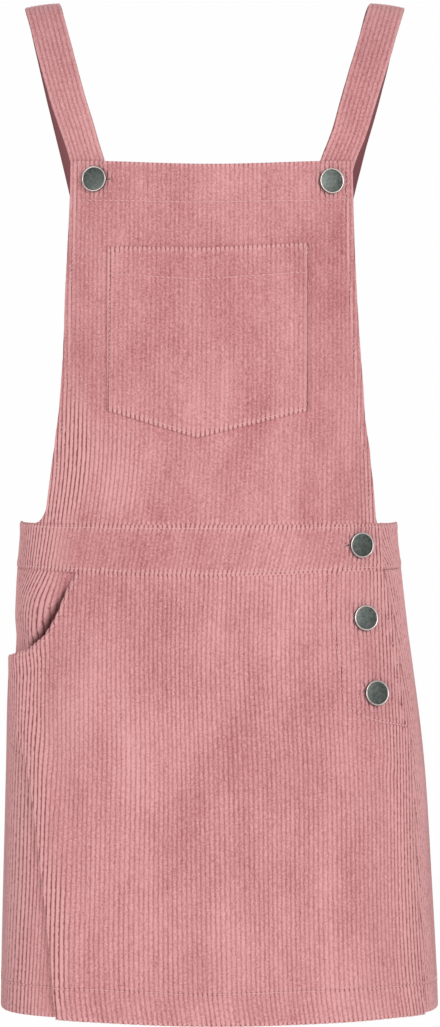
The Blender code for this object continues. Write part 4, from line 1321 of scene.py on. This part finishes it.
on_bib, on_skirt, on_back = (
    folded(place, folds)
    for place, folds in ((bib_place, bib_folds), (skirt_place, skirt_folds), (back_place, back_folds)))
skirt_lines = [mouth_stitch, hem_stitch, side_stitch, facing_stitch]
for label, place, runs, lift, kind in (
    ("bib_hem", on_bib, [bib_hem_stitch], CLOTH + RIDGE, LONG_STITCH),
    ("pocket_hem", pocket_place, [pocket_hem_stitch], CLOTH + RIDGE, LONG_STITCH),
    ("bib_side", on_bib, [bib_left_stitch, bib_right_stitch], CLOTH + SUNK, SHORT_STITCH),
    ("pocket", pocket_place, [pocket_side_stitch, *corner_stitches], CLOTH + SUNK, SHORT_STITCH),
    ("waistband", front_place, [band_top_stitch, band_bottom_stitch], BAND_CLOTH + SUNK, SHORT_STITCH),
    ("waistband_back", back_place, back_stitches, BAND_CLOTH + SUNK, SHORT_STITCH),
    ("skirt", on_skirt, skirt_lines, CLOTH + SUNK, SHORT_STITCH),
    ("bib_buttonhole", on_bib, slot_edges(bib_slots), CLOTH + SUNK, HOLE_STITCH),
    ("waistband_buttonhole", front_place, slot_edges(slots), BAND_CLOTH + SUNK, HOLE_STITCH),
    ("placket_buttonhole", on_skirt, slot_edges(skirt_slots), CLOTH + SUNK, HOLE_STITCH),
    ("skirt_back", on_back, [back_hem_stitch], CLOTH + SUNK, SHORT_STITCH),
):
    stitches(label + "_stitching", place, runs, lift, *kind)


# Buttons: five 20 mm dungaree buttons, each a pressed steel cap with a rolled rim over a shank that is
# riveted through the cloth. The plating is polished off the rim and stays dark and satin on the face.
BUTTON_RADIUS = 0.0101
SHANK_RADIUS = 0.0035
RIM_WIDTH = 0.0013
RIM_HEIGHT = 0.0009
CAP_BASE = 0.0011
CAP_THICKNESS = 0.0023
BUTTON_SIDES = 64
# In from the rim, each step's width and rise: the flat rim, its inner wall and the face's low dome
FACE_STEPS = ((RIM_WIDTH, 0.0), (0.0002, -RIM_HEIGHT), (0.0012, 0.00012), (0.0040, 0.00018))
SHANK_INSET = 0.0060
RIM_ROUNDING = 0.00058
NEAR = 1e-5
RIM_SLACK = 1e-4
SEAT_REACH = 0.004

# Gunmetal: dark nickel-iron plating on pressed steel, satin, with a greenish face that is faintly mottled
# every 2.4 mm
gunmetal, tree, shader = new_material("satin_gunmetal_plated_steel")
place_on = add(tree, "TexCoord", out="Object")
mottle = add(tree, "TexNoise", Vector=place_on, Scale=420.0, Detail=4.0, Roughness=0.65)
contrast = add(tree, "MapRange", Value=mottle, From_Min=0.35, From_Max=0.65)
tint = add(tree, "Mix", {"data_type": "RGBA"}, out=2, i0=contrast, i6=linear("494E4B"), i7=linear("646A66"))
rough = add(tree, "MapRange", Value=mottle, To_Min=0.34, To_Max=0.52)
feed(shader, Base_Color=tint, Metallic=1.0, Roughness=rough)

# The rim: the same steel with the plating worn bright by handling, in patches 4 mm long, and smooth enough
# to catch the lights
bright_rim, tree, shader = new_material("worn_bright_steel_rim")
wear = add(tree, "TexNoise", Vector=add(tree, "TexCoord", out="Object"), Scale=260.0, Detail=2.0)
tint = add(tree, "Mix", {"data_type": "RGBA"}, out=2, i0=wear, i6=linear("A79C97"), i7=linear("E6DDD8"))
feed(shader, Base_Color=tint, Metallic=1.0, Roughness=0.36)


def select_where(mesh, test):
    """Select the faces of the mesh in edit mode that pass a test."""
    data = bmesh.from_edit_mesh(mesh)
    for face in data.faces:
        face.select_set(test(face))
    data.select_flush(True)
    bmesh.update_edit_mesh(mesh)


bpy.ops.object.select_all(action="DESELECT")
bpy.ops.mesh.primitive_cylinder_add(vertices=BUTTON_SIDES, radius=BUTTON_RADIUS, depth=CAP_THICKNESS,
                                    location=(0, 0, CAP_BASE + CAP_THICKNESS / 2))
pattern = bpy.context.active_object
bpy.ops.object.transform_apply(location=True, rotation=False, scale=False)
bpy.ops.object.mode_set(mode="EDIT")
bpy.ops.mesh.select_mode(type="FACE")
select_where(pattern.data, lambda face: face.normal.z > 0.9)
for width, rise in FACE_STEPS:
    bpy.ops.mesh.inset(thickness=width, depth=rise)
select_where(pattern.data, lambda face: face.normal.z < -0.9)
bpy.ops.mesh.inset(thickness=SHANK_INSET, depth=0)
bpy.ops.mesh.extrude_region_move(TRANSFORM_OT_translate={"value": (0, 0, -CAP_BASE)})
bpy.ops.object.mode_set(mode="OBJECT")

rim_top = CAP_BASE + CAP_THICKNESS
weights = pattern.data.attributes.new("bevel_weight_edge", "FLOAT", "EDGE")
for edge in pattern.data.edges:
    one, other = (pattern.data.vertices[corner].co for corner in edge.vertices)
    level = abs(one.z - other.z) < NEAR and one.z > rim_top - NEAR
    across_rim = abs(one.xy.length - other.xy.length) > RIM_SLACK
    weights.data[edge.index].value = 1.0 if level and not across_rim else 0.0
rounding = pattern.modifiers.new("rounding", "BEVEL")
rounding.limit_method = "WEIGHT"
rounding.width = RIM_ROUNDING
rounding.segments = 4
bpy.ops.object.modifier_apply(modifier="rounding")
bpy.ops.object.shade_smooth_by_angle(angle=math.radians(50))
pattern.data.materials.clear()
pattern.data.materials.append(gunmetal)
pattern.data.materials.append(bright_rim)
for face in pattern.data.polygons:
    on_rim = face.center.xy.length > BUTTON_RADIUS - RIM_WIDTH - RIM_SLACK
    if on_rim and face.center.z > rim_top - RIM_HEIGHT:
        face.material_index = 1


def button_frame(button, place):
    """Where a button sits on the cloth, and how it is turned: the side ones lean on their shanks."""
    lean = math.radians(button.turn)
    floor = button.floor + WALE_HEIGHT + SEAM_GAP + SHANK_RADIUS * math.sin(lean)
    across = button.across + SEAT_REACH * np.array([0, 1, -1, 0, 0])
    up = button.height + SEAT_REACH * np.array([0, 0, 0, 1, -1])
    spots = [Vector(point) for point in place(across, up, np.full(len(up), floor))]
    above = (spots[3] - spots[4]).normalized()
    facing = Matrix.Rotation(-lean, 3, "Z") @ (spots[1] - spots[2]).cross(above).normalized()
    sideways = above.cross(facing).normalized()
    above = facing.cross(sideways)
    turned = Matrix((sideways, above, facing)).transposed().to_4x4()
    return Matrix.Translation(spots[0]) @ turned


for button, place in ((BIB_BUTTONS[0], bib_place), (BIB_BUTTONS[1], bib_place), (WAIST_BUTTON, front_place),
                      (SKIRT_BUTTONS[0], front_place), (SKIRT_BUTTONS[1], front_place)):
    mesh = pattern.data.copy()
    mesh.transform(button_frame(button, place))
    piece = placed(button.node + "_cap", mesh)
    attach(piece, "root")
    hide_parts(button.node)
bpy.data.objects.remove(pattern)


# Studio: a round pale floor under the dress, a large soft light at the right and in front, a weaker one at
# the left, one behind for the back, and an even pale surround.
FLOOR = -1.05
FLOOR_RADIUS = 1.75
FLOOR_SIDES = 96
SURROUND = 0.52
LIT = Vector((0, 0, -0.4))

paper, tree, shader = new_material("matt_white_studio_paper")
mottle = add(tree, "TexNoise", Vector=add(tree, "TexCoord", out="Object"), Scale=3.0, Detail=2.0)
tint = add(tree, "Mix", {"data_type": "RGBA"}, out=2, i0=mottle, i6=linear("F6F6F5"), i7=linear("FAFAF9"))
feed(shader, Base_Color=tint, Roughness=0.9)

mesh = bpy.data.meshes.new("studio_floor")
rim = [(FLOOR_RADIUS * math.cos(turn), FLOOR_RADIUS * math.sin(turn), FLOOR)
       for turn in np.linspace(0, 2 * math.pi, FLOOR_SIDES + 1)[:-1]]
mesh.from_pydata(rim, [], [tuple(range(FLOOR_SIDES))])
mesh.materials.append(paper)
floor = placed("studio_floor", mesh)

for name, place, size, watts in (
    ("key", (1.7, -3.6, 0.75), 0.7, 62.0),
    ("fill", (-1.9, -3.0, -0.4), 1.0, 26.0),
    ("back", (0.3, 3.8, 0.8), 1.2, 70.0),
):
    lamp = bpy.data.lights.new(name, "AREA")
    lamp.size = size
    lamp.energy = watts
    light = placed(name, lamp)
    light.location = place
    light.rotation_euler = (LIT - Vector(place)).to_track_quat("-Z", "Y").to_euler()

# The surround: white to look at, and dimmer as a light so that the grooves keep their shade
world = bpy.data.worlds.new("surround")
world.use_nodes = True
tree = world.node_tree
seen = add(tree, "LightPath", out="Is Camera Ray")
brightness = add(tree, "MapRange", Value=seen, To_Min=SURROUND, To_Max=1.0)
feed(tree.nodes["Background"], Color=linear("FEFEFE"), Strength=brightness)
bpy.context.scene.world = world
bpy.context.scene.view_settings.view_transform = "Standard"
